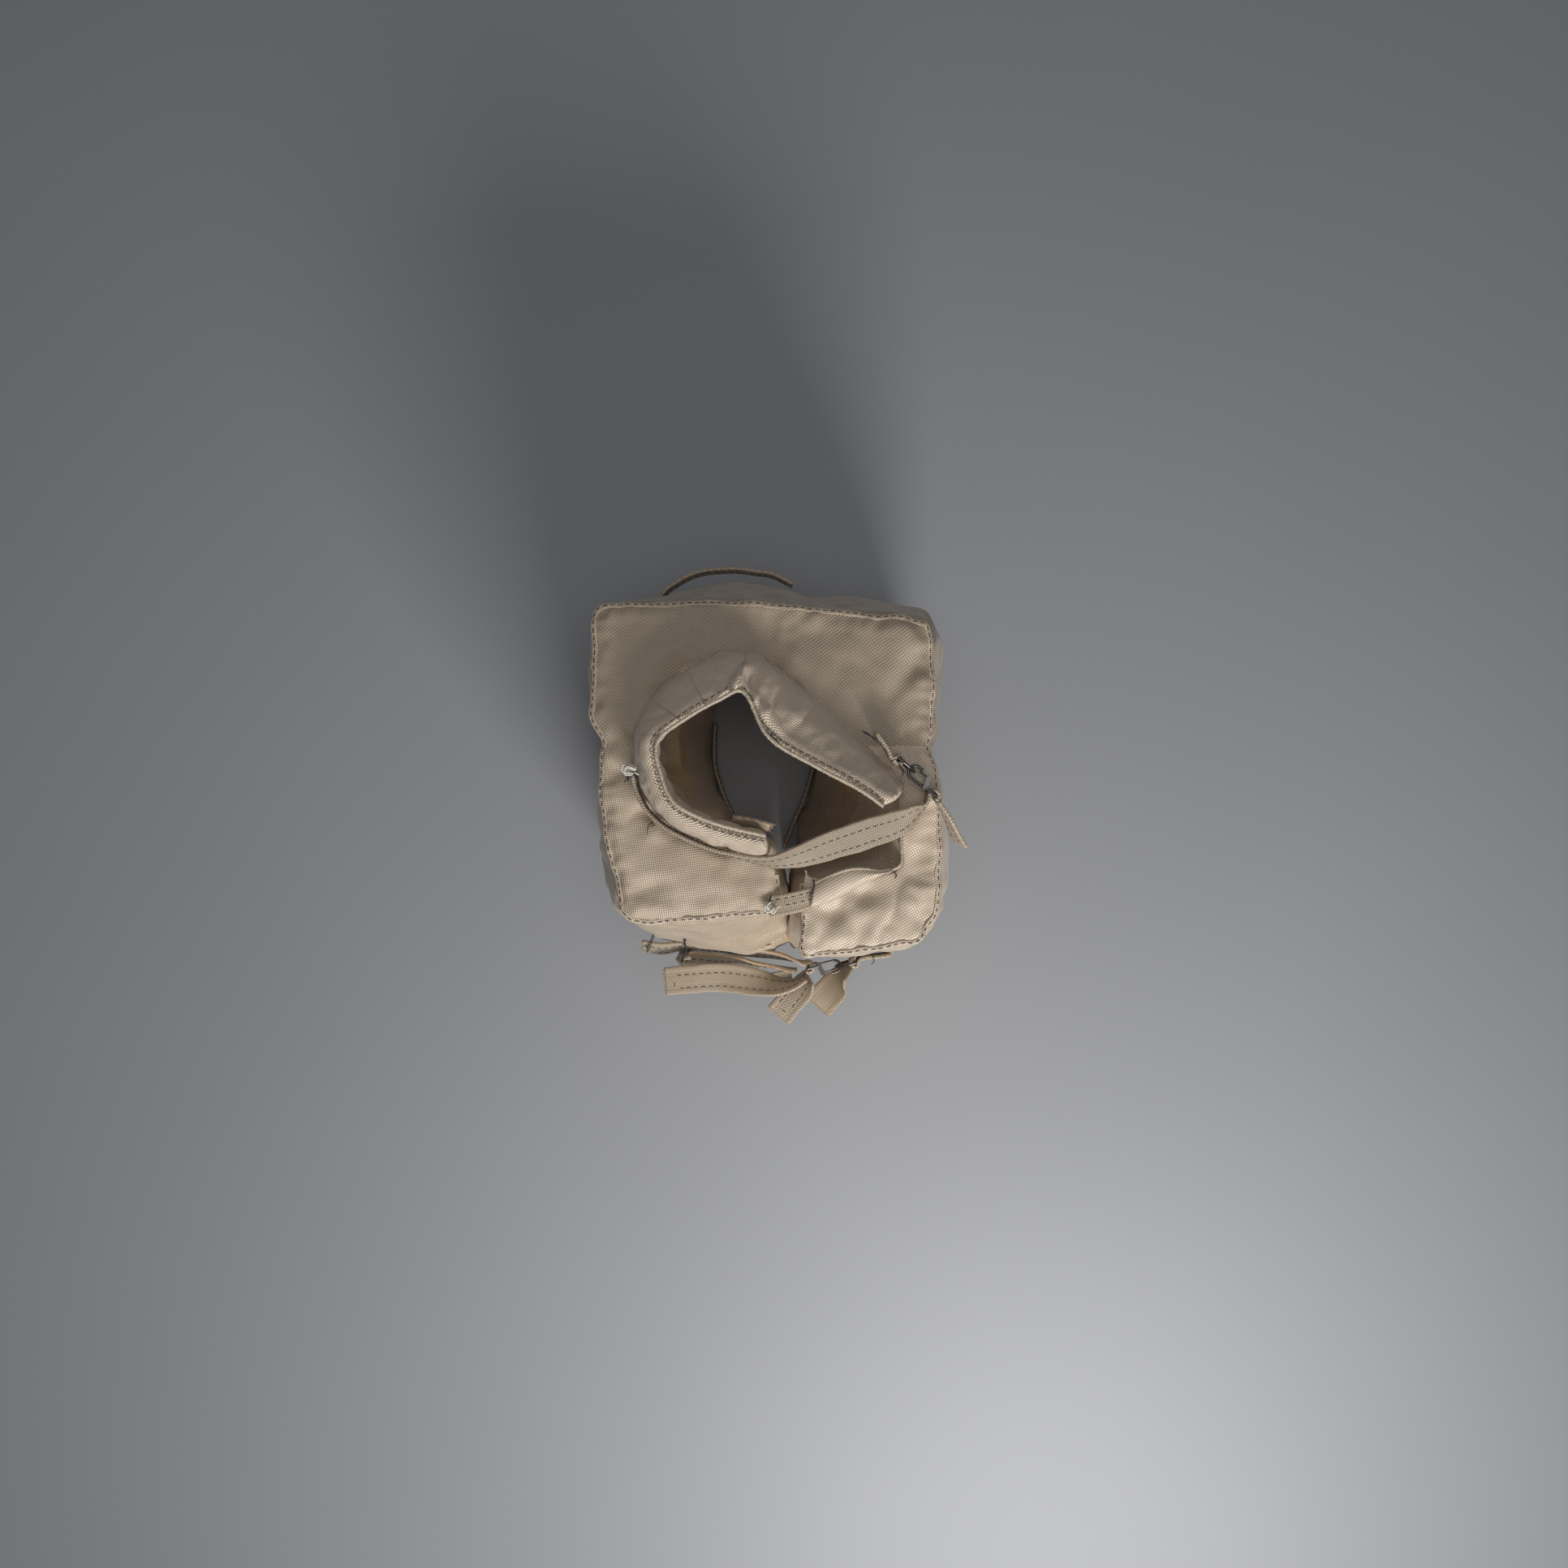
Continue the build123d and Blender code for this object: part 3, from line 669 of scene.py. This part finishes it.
def vest(press_by):
    """The padded body: one soft skin over its three pads, with the sewn edges held."""
    nodes = [f"{pad}_{part}" for pad in PADS for part in ("cover", "filling", "top_panel")]
    made = remeshed("vest_pads", nodes, voxel=1.3, rounds=3)
    points = points_of(made)
    rim, _ = near_line(points, TOP_EDGE)
    hem, _ = near_line(points, HEM_EDGE)
    sewn = (rim < 1.3) | (hem < 1.6)
    side = (abs(points[:, 1] - SEAM_Y) < 0.7) & (abs(points[:, 0]) > 30)
    slack = np.clip(np.minimum(rim, hem) / 5, 0, 1) * (points[:, 2] > 2)
    place(made, points - normals_of(made) * (1.1 * slack)[:, None])
    inflated(made, sewn | side | (points[:, 2] < 1.5), pressure=5.0, limit=1.25)
    sculpted(made, DENTS, FOLDS + wall_folds(),
             [(TOP_EDGE, 2.4, 0.26, 3.6), (HEM_EDGE, 2.6, 0.24, 4.1)], grain=0.8)
    place(made, crowned(belly_out(points_of(made), normals_of(made))))
    pressed(made, press_by)
    points = points_of(made)
    points[:, 2] = np.maximum(points[:, 2], 0.02)
    place(made, points)
    made.modifiers.new("round", "SUBSURF").levels = 1
    baked(made)
    made.data.polygons.foreach_set("use_smooth", [True] * len(made.data.polygons))
    dress(made, CANVAS["back"])
    for pad in (*PADS[1:], "lining"):
        made.data.materials.append(CANVAS[pad])
    centres = np.empty(3 * len(made.data.polygons))
    made.data.polygons.foreach_get("center", centres)
    x, y, z = to_vest(centres.reshape(-1, 3)).T
    panel = np.where(y > SEAM_Y, 0, np.where(x < GAP_X, 1, 2))
    # Faces inside the neck and the front gap take the darker, warmer cloth as painted shade
    in_neck = (z < PANEL_TOP - 2.5) & (z > 1) & (np.hypot(x + 3, (y - 4) * 0.93) < 26)
    in_gap = (abs(x - GAP_X) < 3.2) & (z < 80) & (y < 0) & (y > -33)
    made.data.polygons.foreach_set("material_index", np.where(in_neck | in_gap, len(PADS), panel))
    weave_uv(made, SHOULDER_LINE)
    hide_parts(*nodes)
    return made


def flange(name, find, line, inward, skin):
    """The seam's folded edge, laid on the skin, and the stitches through it."""
    path, _ = laid(find, curve_through(line, 0.45), 2)
    count = len(path)
    travel = unit(np.gradient(path, axis=0))
    outward = unit(np.cross(travel, UP))
    across = unit(outward - UP * 0.30 * inward)
    up = unit(np.cross(across, travel))
    up *= np.sign(up @ UP)[:, None]
    wide, thick = 1.45, 0.5
    sides = 14
    swell, lift = 1 + wobble(count, 0.12, 4), wobble(count, 0.10, 5)
    verts = []
    for i in range(count):
        for k in range(sides):
            a = 2 * math.pi * k / sides
            u, h = math.cos(a), math.sin(a)
            dip = 0.35 * math.exp(-(u / 0.16) ** 2) if h > 0 else 0
            verts.append(path[i] + across[i] * (u * wide / 2 * swell[i] + 0.15)
                         + up[i] * ((h - dip) * thick / 2 + 0.12 + lift[i]))
    edge = piece(f"{name}_seam", verts, tube_faces(count, sides), skin)
    weave_uv(edge, line)
    on_top = path + across * 0.15 + up * (thick * 0.36 + 0.12 + lift[:, None])
    stitches(f"{name}_seam_thread", [(on_top, up)], radius=0.13)
    return edge


def overlock(name, path, out, size, replaces=()):
    """An overlocked edge: a soft core under a close, uneven winding of thread."""
    count = len(path)
    travel = unit(np.gradient(path, axis=0))
    side = unit(np.cross(out, travel))
    sides = 10
    core = []
    for i in range(count):
        for k in range(sides):
            a = 2 * math.pi * k / sides
            core.append(path[i] + side[i] * size * 0.75 * math.cos(a) + out[i] * size * math.sin(a))
    made = piece(name, core, tube_faces(count, sides), LOCKED)
    if replaces:
        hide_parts(*replaces)
    length = lengths_along(path)
    turns = int(length[-1] / 0.44)
    s = np.linspace(0, length[-1], turns * 8)
    a = np.arange(len(s)) * 2 * math.pi / 8 + rng.normal(0, 0.25, len(s))
    reach = size * (1.08 + rng.normal(0, 0.09, len(s)))
    middle, sideways, outward = (at_lengths(s, length, field) for field in (path, side, out))
    wound = middle + sideways * (reach * 0.8 * np.cos(a))[:, None] + outward * (reach * np.sin(a))[:, None]
    threads(name + "_winding", [wound + rng.normal(0, 0.03, wound.shape)], 0.10, LOCKED)
    return made


def tack(name, at, thick=0.12, skin=None, spread=0.22, count=4):
    """A hand-sewn tack: a few heavy threads side by side along the points."""
    at = np.array(at, float)
    paths = []
    for _ in range(count):
        shift = rng.normal(0, spread, 3)
        paths.append(curve_through(at + shift + rng.normal(0, 0.07, at.shape), 0.4))
    tail = at[-1] + rng.normal(0, 0.2, 3)
    paths.append(fibre(tail, at[-1] - at[-2] + rng.normal(0, 0.5, 3), 1.4))
    return threads(name, paths, thick, skin or BLACK)


# ---------------------------------------------------------------- tapes


def on_edge(points, z):
    return [(x, y, z, 90) for x, y in points]


def round_bar(bar, heading, z):
    """The fold of a tape round an upright wire."""
    reach = WIRE / 2 + SLACK + TAPE / 2
    base = math.atan2(heading[1], heading[0])
    angles = np.radians(np.linspace(118, -112, 9)) + base
    return on_edge([(bar[0] + reach * math.cos(a), bar[1] + reach * math.sin(a)) for a in angles], z)


def beside_hook(bar, turn, x, y):
    c, s = math.cos(math.radians(turn)), math.sin(math.radians(turn))
    return (bar[0] + c * x - s * y, bar[1] + s * x + c * y)


def neck_tapes():
    z = NECK_Z
    route = [
        (-32.4, 3, z + 0.8, 90), (-31.4, -2.5, z + 0.8, 90), (-28, -8.4, z + 0.8, 90),
        (-21, -13.2, z + 0.8, 90), (-11, -16.8, z + 0.8, 88), (-2, -18.8, z + 0.4, 72),
        (6, -17.6, z - 0.4, 45), (14, -15, z - 1.2, 22), (22, -12.4, z - 1.4, 15),
        (29, -10, z - 1.2, 30), (33, -7.2, z - 0.4, 65), (35.2, -5.6, z, 88),
    ]
    made = tape("neck_strap_tape", route + round_bar(NECK_BAR, (0.77, 0.64), z), skin=WORN,
                frayed=(False, False))
    bar = beside_hook(NECK_BAR, NECK_TURN, RING_BAR, -BEND_RADIUS)
    tab = on_edge([(23.4, 10.6), (26, 7.2), (27.2, 5.0)], z)
    made += tape("neck_ring_tab_tape", tab + round_bar(bar, (0.6, -0.8), z), frayed=(False, False))
    tail = [(37.4, -4.6, z - 0.2, 90), (38.2, -5.6, z - 0.4, 90), (40.4, -9, z - 1.2, 87),
            (43.4, -14.6, z - 4.2, 78)]
    made += tape("neck_strap_tail_tape", tail, body="neck_tail",
                 blend=((38.0, -5.2, z - 0.4), (40.5, -9.5, z - 1.6)))
    made += tape("collar_tie_end_tape", [(-9.5, -9, z + 1.8, 68), (-1, -11, z + 1.3, 68)], width=4.4,
                 skin=SATIN, stitched=False)
    return made


def front_tie():
    low = PANEL_TOP + TAPE / 2
    narrow = [(-1.2, -29.7, low, 0), (4, -28.7, low + 0.5, 0), (10, -27.2, low + 0.4, 0)]
    made = tape("tie_tape_left_tape", narrow, width=4.9, rows=(0.56, -0.1), frayed=(True, False))
    top = np.array([(9.6, -24, 1.6), (11.4, -23.2, 2.0), (13.9, -22, 2.1), (17.1, -21, 2.2),
                    (19.8, -20.6, 2.1), (22.9, -21, 1.8), (26, -21.4, 1.3), (27.8, -20.9, 0.9)])
    foot = np.array([(8.5, -29.8, 1.5), (11, -29.2, 1.9), (14, -28.1, 1.9), (16.7, -26.7, 1.6),
                     (19.6, -25, 1.9), (22.2, -23.6, 1.7), (25, -22.3, 1.1), (27.4, -21.6, 0.6)])
    top, foot = (curve_through(line + (0, 0, PANEL_TOP), 0.5) for line in (top, foot))
    count = min(len(top), len(foot))
    top, foot = (line[np.linspace(0, len(line) - 1, count).round().astype(int)] for line in (top, foot))
    cross, half = 12, 0.32
    shares = np.linspace(0, 1, cross)
    verts = []
    for a, b in zip(top, foot):
        arch = [a + (b - a) * s + UP * (0.9 * math.sin(math.pi * s) ** 0.8) for s in shares]
        arch[-1] = arch[-1] - UP * 0.7
        verts += [p + UP * half for p in arch] + [p - UP * half for p in reversed(arch)]
    flap = piece("tie_tape_right_tape", verts, tube_faces(count, 2 * cross), CANVAS["right_front"])
    layer = flap.data.uv_layers.new(name="weave")
    for loop in flap.data.loops:
        x, y, _ = verts[loop.vertex_index]
        layer.data[loop.index].uv = (x * MM, y * MM)
    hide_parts("tie_tape_right")
    edge = np.array([(29.4, -8, 0.3), (29.7, -13, 0.3), (29.8, -19.2, 0.5), (27.8, -20.9, 1.1),
                     *top[::-6][:-1] - (0, 0, PANEL_TOP), top[0] - (0, 0, PANEL_TOP)])
    neckline = curve_through(edge + (0, 0, PANEL_TOP + 0.1), 0.35)
    overlock("neckline_overlock", neckline, np.tile(UP, (len(neckline), 1)), 0.5)
    return made + [flap]


def waist_tapes():
    z = WAIST_Z
    sewn = [
        (-33.5, -42.4, z, 62), (-28, -42.9, z, 64), (-22, -42.4, z, 72), (-11, -43.1, z, 66),
        (1, -44.8, z, 74), (6.9, -46.7, z, 90),
    ]
    made = tape("waist_strap_tape", sewn + round_bar(WAIST_BAR, (0.95, -0.3), z), frayed=(True, False))
    fold = [
        (-21, -44.5, z - 0.4, 80), (-22.9, -44.8, z - 0.6, 78), (-23.3, -45.7, z - 0.8, 60),
        (-21.5, -46.3, z - 1, 38), (-18, -46.6, z - 1, 38), (-11, -46.9, z - 0.8, 52),
        (-3, -47.3, z - 0.4, 78), (5.6, -48.6, z, 90),
    ]
    made += tape("waist_strap_fold_tape", fold, frayed=(False, False))
    bar = beside_hook(WAIST_BAR, WAIST_TURN, RING_BAR, -BEND_RADIUS)
    tab = on_edge([(29.5, -44.3), (27, -44.7), (23.5, -44.9), (21.4, -45.6)], z)
    made += tape("waist_ring_tab_tape", tab + round_bar(bar, (-1, -0.25), z), frayed=(True, False))
    long_tail = [(7.4, -50.4, z + 1.6, 84), (4.6, -51.7, z + 2.2, 78), (0, -51.9, z + 3, 52),
                 (-6, -50.9, z + 3.5, 22), (-14, -49.9, z + 3.8, 0), (-27.6, -50.8, z + 3.4, 0)]
    made += tape("waist_tail_long_tape", long_tail, body="waist_tail_long", box_end=2.6, rows=(0.56, -0.36),
                 blend=((4.8, -51.6, z + 2.2), (0, -51.9, z + 3)))
    short_tail = [(9, -50.6, z - 1.2, 60), (6.2, -54.2, z - 2, 22), (1, -60.4, z - 3.2, 5)]
    made += tape("waist_tail_short_tape", short_tail, body="waist_tail_short", box_end=2.2,
                 blend=((8.8, -50.9, z - 1.2), (6.2, -54.2, z - 2)))
    tip = [(4.4, -50.4, z - 4.95, 0), (-5, -53, z - 6.6, 0)]
    made += tape("waist_tail_tip_tape", tip, width=4, rows=(0.56,), body="waist_tail_tip",
                 blend=((4.2, -50.5, z - 5), (0, -51.6, z - 5.8)))
    plain = [(19.4, -49.1, z - 1.5, 88), (17.2, -51.3, z - 4, 45), (14.6, -54.4, z - 6, 20),
             (11, -58.6, z - 7.4, 5)]
    made += tape("ring_tail_tape", plain, width=8.4, skin=SATIN, stitched=False, body="ring_tail",
                 blend=((19.2, -49.3, z - 1.7), (16.6, -52, z - 4.4)))
    return made


def back_loop():
    line = [(-28.5, 47.0), (-26, 49.4), (-20, 52.3), (-12.5, 53.4), (-6, 53), (-0.5, 52), (4.6, 49.6)]
    return tape("back_loop_tape", on_edge(line, WAIST_Z), frayed=(False, False))


def hem_tapes():
    z = 0.8 + TAPE_WIDTH / 2
    left = [(-17.4, 16), (-17.4, 5), (-15, -3.8), (-11.2, -12)]
    right = [(12, 8), (8.3, -5), (5.2, -12.2), (2.4, -19)]
    made = tape("left_hem_tape_tape", on_edge(left, z), frayed=(True, True))
    made += tape("right_hem_tape_tape", on_edge(right, z), frayed=(True, True))
    return made


def selvedges():
    """The strap's upper edges, which the light comes through."""
    for name, owner in (("strap", "waist_strap_tape"), ("fold", "waist_strap_fold_tape")):
        stations = points_of(bpy.data.objects[owner]).reshape(-1, 2 * (2 * len(HALF) - 1), 3)
        top = stations[np.arange(len(stations)), stations[:, :, 2].argmax(1)]
        keep = top[(top[:, 0] > -22) & (top[:, 0] < 6)]
        order = np.argsort(keep[:, 0])
        threads(f"waist_{name}_selvedge", [curve_through(keep[order][::3], 0.5)], 0.2, SELVEDGE)


def gap_facing():
    """The facing that bunches between the two front pads, in the darker, warmer cloth of painted shade."""
    wide, tall = 14, 22
    verts = []
    for j in range(tall):
        for i in range(wide):
            u, v = i / (wide - 1), j / (tall - 1)
            bunch = 1.4 * math.sin(5.2 * u + 2.6 * v) * math.sin(3.1 * v + 0.6)
            bunch += 0.7 * math.sin(11 * u - 7 * v)
            verts.append((0.2 + 6.8 * u, -35.5 - 4.5 * math.sin(math.pi * v) ** 0.7 - 1.6 * u + bunch,
                          45 + 20 * v + 0.5 * math.sin(9 * u)))
    faces = [(j * wide + i, j * wide + i + 1, (j + 1) * wide + i + 1, (j + 1) * wide + i)
             for j in range(tall - 1) for i in range(wide - 1)]
    made = piece("gap_facing", verts, faces, CANVAS["lining"])
    solid = made.modifiers.new("cloth", "SOLIDIFY")
    solid.thickness, solid.offset = 0.4 * MM, 0
    made.modifiers.new("round", "SUBSURF").levels = 1
    baked(made)
    dress(made, CANVAS["lining"])
    weave_uv(made, [(0, -40), (8, -40)])


def tacks(find):
    """The black and undyed hand stitches that hold the tapes."""
    z, top = WAIST_Z, WAIST_Z + TAPE_WIDTH / 2

    def on_skin(x, high):
        spot, out = find((x, -40, high))
        return tuple(spot + out * 0.12)

    tack("tack_waist_left", [on_skin(-32, top + 1.4), (-32.1, -42.8, top - 0.6),
                             (-32.3, -43.6, z + 0.4)])
    tack("tack_waist_fold", [on_skin(-22.1, top + 8), on_skin(-22.1, top + 5), on_skin(-22.1, top + 2),
                             (-22.2, -42.5, top + 0.4), (-22.6, -44.2, top + 0.2), (-23.3, -46, top - 1.6)],
         spread=0.2)
    tack("tack_ring_tab", [on_skin(24.8, top + 1.6), (25, -44.4, top + 0.3), (25.2, -45.5, top - 0.8)],
         count=3)
    tack("tack_neck_left", [(-31.6, 1.6, NECK_Z + 4.4), (-33, 1.2, NECK_Z + 4.8), (-33.6, 0.2, NECK_Z + 3.4)])
    tack("tack_neck_low", [(-27.2, -9.8, NECK_Z + 4.6), (-28.2, -10.4, NECK_Z + 4.6)], count=3)
    tack("knot_neck_left", [(-31.4, 3, NECK_Z + 4.6), (-33.4, 3.6, NECK_Z + 5.2), (-33.8, 2.2, NECK_Z + 5),
                            (-32, 2, NECK_Z + 4.8)], thick=0.22, skin=WHITE, spread=0.34, count=7)
    low = PANEL_TOP + TAPE
    tack("tack_tie_left", [(-0.6, -27.4, low + 0.3), (-0.9, -29, low + 0.5), (-0.4, -30.8, low + 0.2)],
         count=3)
    tack("knot_tie_left", [(-0.5, -28.6, low + 0.5), (-1.5, -29.6, low + 0.9), (-0.6, -30.8, low + 0.6),
                           (0.5, -29.8, low + 0.7)], thick=0.2, skin=WHITE, spread=0.3, count=6)
    tack("tack_tie_middle", [(9.2, -23.2, low + 1.3), (9.4, -24.6, low + 1.6), (9.2, -25.6, low + 1.6)],
         count=3)
    tack("tack_tie_right", [(27.2, -20.6, low + 0.2), (28.2, -21.8, low + 0.3), (28.4, -22.4, low + 0.2)],
         count=3)
    tack("tack_collar_ring", [(20.6, 11, NECK_Z + 4.5), (22.4, 9.8, NECK_Z + 4.8), (23.4, 8.8, NECK_Z + 4.6)],
         count=4)
    tack("tack_collar_end", [(28.4, 3.4, NECK_Z + 3.6), (29.6, 2.2, NECK_Z + 4), (29.2, 1, NECK_Z + 3.8)],
         count=3)


# ---------------------------------------------------------------- collar

COLLAR = [
    ((-1.2, -17.4), (-1.7, -12.6)), ((-14.5, -14.4), (-12.8, -9.9)), ((-25.8, -8.4), (-22, -5.4)),
    ((-31, 1), (-25.5, 2)), ((-32.5, 10.5), (-26, 8.5)), ((-29.3, 19.3), (-20, 13.5)),
    ((-20.5, 26.5), (-12, 18)), ((-6, 31), (-6.5, 19.5)), ((8, 20.6), (-1, 9.5)),
    ((20.4, 9.9), (9.5, 3)), ((28.6, 1.8), (19, -2)), ((30.6, -2.4), (24.8, -6)),
]


def collar():
    made = remeshed("collar_roll", ["collar_cover", "collar_filling"], voxel=0.8, rounds=2)
    points = points_of(made)
    pinned = (points[:, 2] < PANEL_TOP + 1.2) | (points[:, 2] > points[:, 2].max() - 1.0)
    inflated(made, pinned, pressure=6.0, limit=1.0)
    folds = []
    for foot, lip in COLLAR[1:-1]:
        for _ in range(2):
            along = rng.uniform(-2.5, 2.5, 2)
            middle = (np.array(foot) + np.array(lip)) / 2 + along
            tilt = rng.uniform(-2, 2, 2)
            folds.append(([(*(middle - tilt), PANEL_TOP + 4), (*(middle + tilt), PANEL_TOP + 11)], 1.3,
                          rng.uniform(-0.6, 0.5)))
    high = PANEL_TOP + 13.4
    folds += [
        ([(-5.0, 30, high - 6), (-8.6, 20.9, high)], 1.0, 2.0),
        ([(-2.2, 28.4, high - 5), (-5.6, 19, high)], 1.3, -2.0),
        ([(-8.6, 29, high - 5), (-11.6, 21, high)], 1.3, -1.5),
        ([(1.6, 25, high - 4), (-3.4, 16.4, high)], 0.9, -0.8),
        ([(3.6, 23, high - 4), (-1.6, 15, high)], 0.9, 0.7),
        ([(14, 13, high - 5), (22, 5, high - 5)], 2.0, 0.6),
        ([(-28, 6, high - 4), (-22, 9, high - 1)], 0.9, -0.7),
    ]
    sculpted(made, folds=folds, grain=0.5)
    made.modifiers.new("round", "SUBSURF").levels = 1
    baked(made)
    made.data.polygons.foreach_set("use_smooth", [True] * len(made.data.polygons))
    dress(made, CANVAS["collar"])
    weave_uv(made, [foot for foot, _ in COLLAR])
    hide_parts("collar_cover", "collar_filling")
    return made


def collar_edge(find):
    """The overlocked lip and the running stitch below it, on both faces."""
    source = points_of(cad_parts["collar_edge"])
    lips = curve_through([lip for _, lip in COLLAR], 0.35)
    feet = curve_through([foot for foot, _ in COLLAR], 0.35)
    share = np.linspace(0, 1, len(lips))
    feet = np.stack([np.interp(share, np.linspace(0, 1, len(feet)), feet[:, c]) for c in (0, 1)], 1)
    heights = []
    for x, y in lips:
        order = np.argsort(np.linalg.norm(source[:, :2] - (x, y), axis=1))
        heights.append(source[order[:8], 2].mean())
    path = np.column_stack([lips, np.convolve(np.pad(heights, 4, mode="edge"), np.ones(9) / 9, "valid")])
    path[:, 2] += wobble(len(path), 0.12, 7)
    out = np.tile(UP, (len(path), 1))
    overlock("collar_overlock", path, out, 0.54, ["collar_edge"])
    away = unit(np.column_stack([feet - lips, np.zeros(len(lips))]))
    lines = []
    for side in (1, -1):
        row, normals = laid(find, path + away * (1.0 * side + 0.5) - UP * 1.2)
        lines.append((row + normals * 0.03, normals))
    stitches("collar_thread", lines)


# ---------------------------------------------------------------- stage


def lamp(name, at, look, size, power, colour=(1, 1, 1)):
    light = bpy.data.lights.new(name, "AREA")
    light.shape, light.size, light.size_y = "RECTANGLE", *size
    light.energy, light.color = power, colour
    made = bpy.data.objects.new(name, light)
    made.location = at
    made.rotation_euler = (Vector(look) - Vector(at)).to_track_quat("-Z", "Y").to_euler()
    bpy.context.collection.objects.link(made)


def stage():
    scene = bpy.context.scene
    camera = bpy.data.objects.new("camera", bpy.data.cameras.new("camera"))
    camera.location = (0.0032, 0.0028, 0.450)
    camera.data.lens, camera.data.sensor_width = 35.5, 36
    bpy.context.collection.objects.link(camera)
    scene.camera = camera
    half = 3.0
    mesh = bpy.data.meshes.new("floor")
    corners = [(-half, -half, 0), (half, -half, 0), (half, half, 0), (-half, half, 0)]
    mesh.from_pydata(corners, [], [(0, 1, 2, 3)])
    floor = bpy.data.objects.new("floor", mesh)
    bpy.context.collection.objects.link(floor)
    made = bpy.data.materials.new("floor")
    made.use_nodes = True
    tree = made.node_tree
    shader = tree.nodes["Principled BSDF"]
    cloud = node(tree, "ShaderNodeTexNoise", Scale=9, Detail=4)
    tree.links.new(node(tree, "ShaderNodeTexCoord").outputs["Object"], cloud.inputs["Vector"])
    tree.links.new(mixed(tree, cloud.outputs[0], (0.300, 0.305, 0.316), (0.322, 0.327, 0.339)),
                   shader.inputs["Base Color"])
    shader.inputs["Roughness"].default_value = 0.55
    floor.data.materials.append(made)
    lamp("key", (0.11, -0.31, 0.27), (0, 0, 0.05), (0.16, 0.12), 1.30, (1, 0.99, 0.975))
    lamp("top", (0.02, 0.02, 0.60), (0, 0, 0.08), (0.22, 0.22), 0.50, (1, 1, 1))
    world = bpy.data.worlds.new("world")
    world.use_nodes = True
    world.node_tree.nodes["Background"].inputs["Color"].default_value = (0.9, 0.93, 1, 1)
    world.node_tree.nodes["Background"].inputs["Strength"].default_value = 0.17
    scene.world = world
    scene.view_settings.view_transform = "Standard"


# ---------------------------------------------------------------- assembly, in the order of the random draws

stage()
straps = neck_tapes() + front_tie() + waist_tapes() + back_loop() + hem_tapes()
woven = [made for made in straps if made.name.endswith("_tape")]
roll = collar()
collar_edge(skin_of(roll))
pads = vest(woven)
pads_skin = skin_of(pads)
flange("vest_top", pads_skin, TOP_EDGE, 1, CANVAS["left_front"])
gap_facing()
selvedges()
flange("vest_hem", pads_skin, HEM_EDGE, -1, CANVAS["back"])
tacks(pads_skin)

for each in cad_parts:
    if "hook" in each or each.endswith("_ring"):
        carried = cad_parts[each]
        carried.data.materials.clear()
        carried.data.materials.append(STEEL)
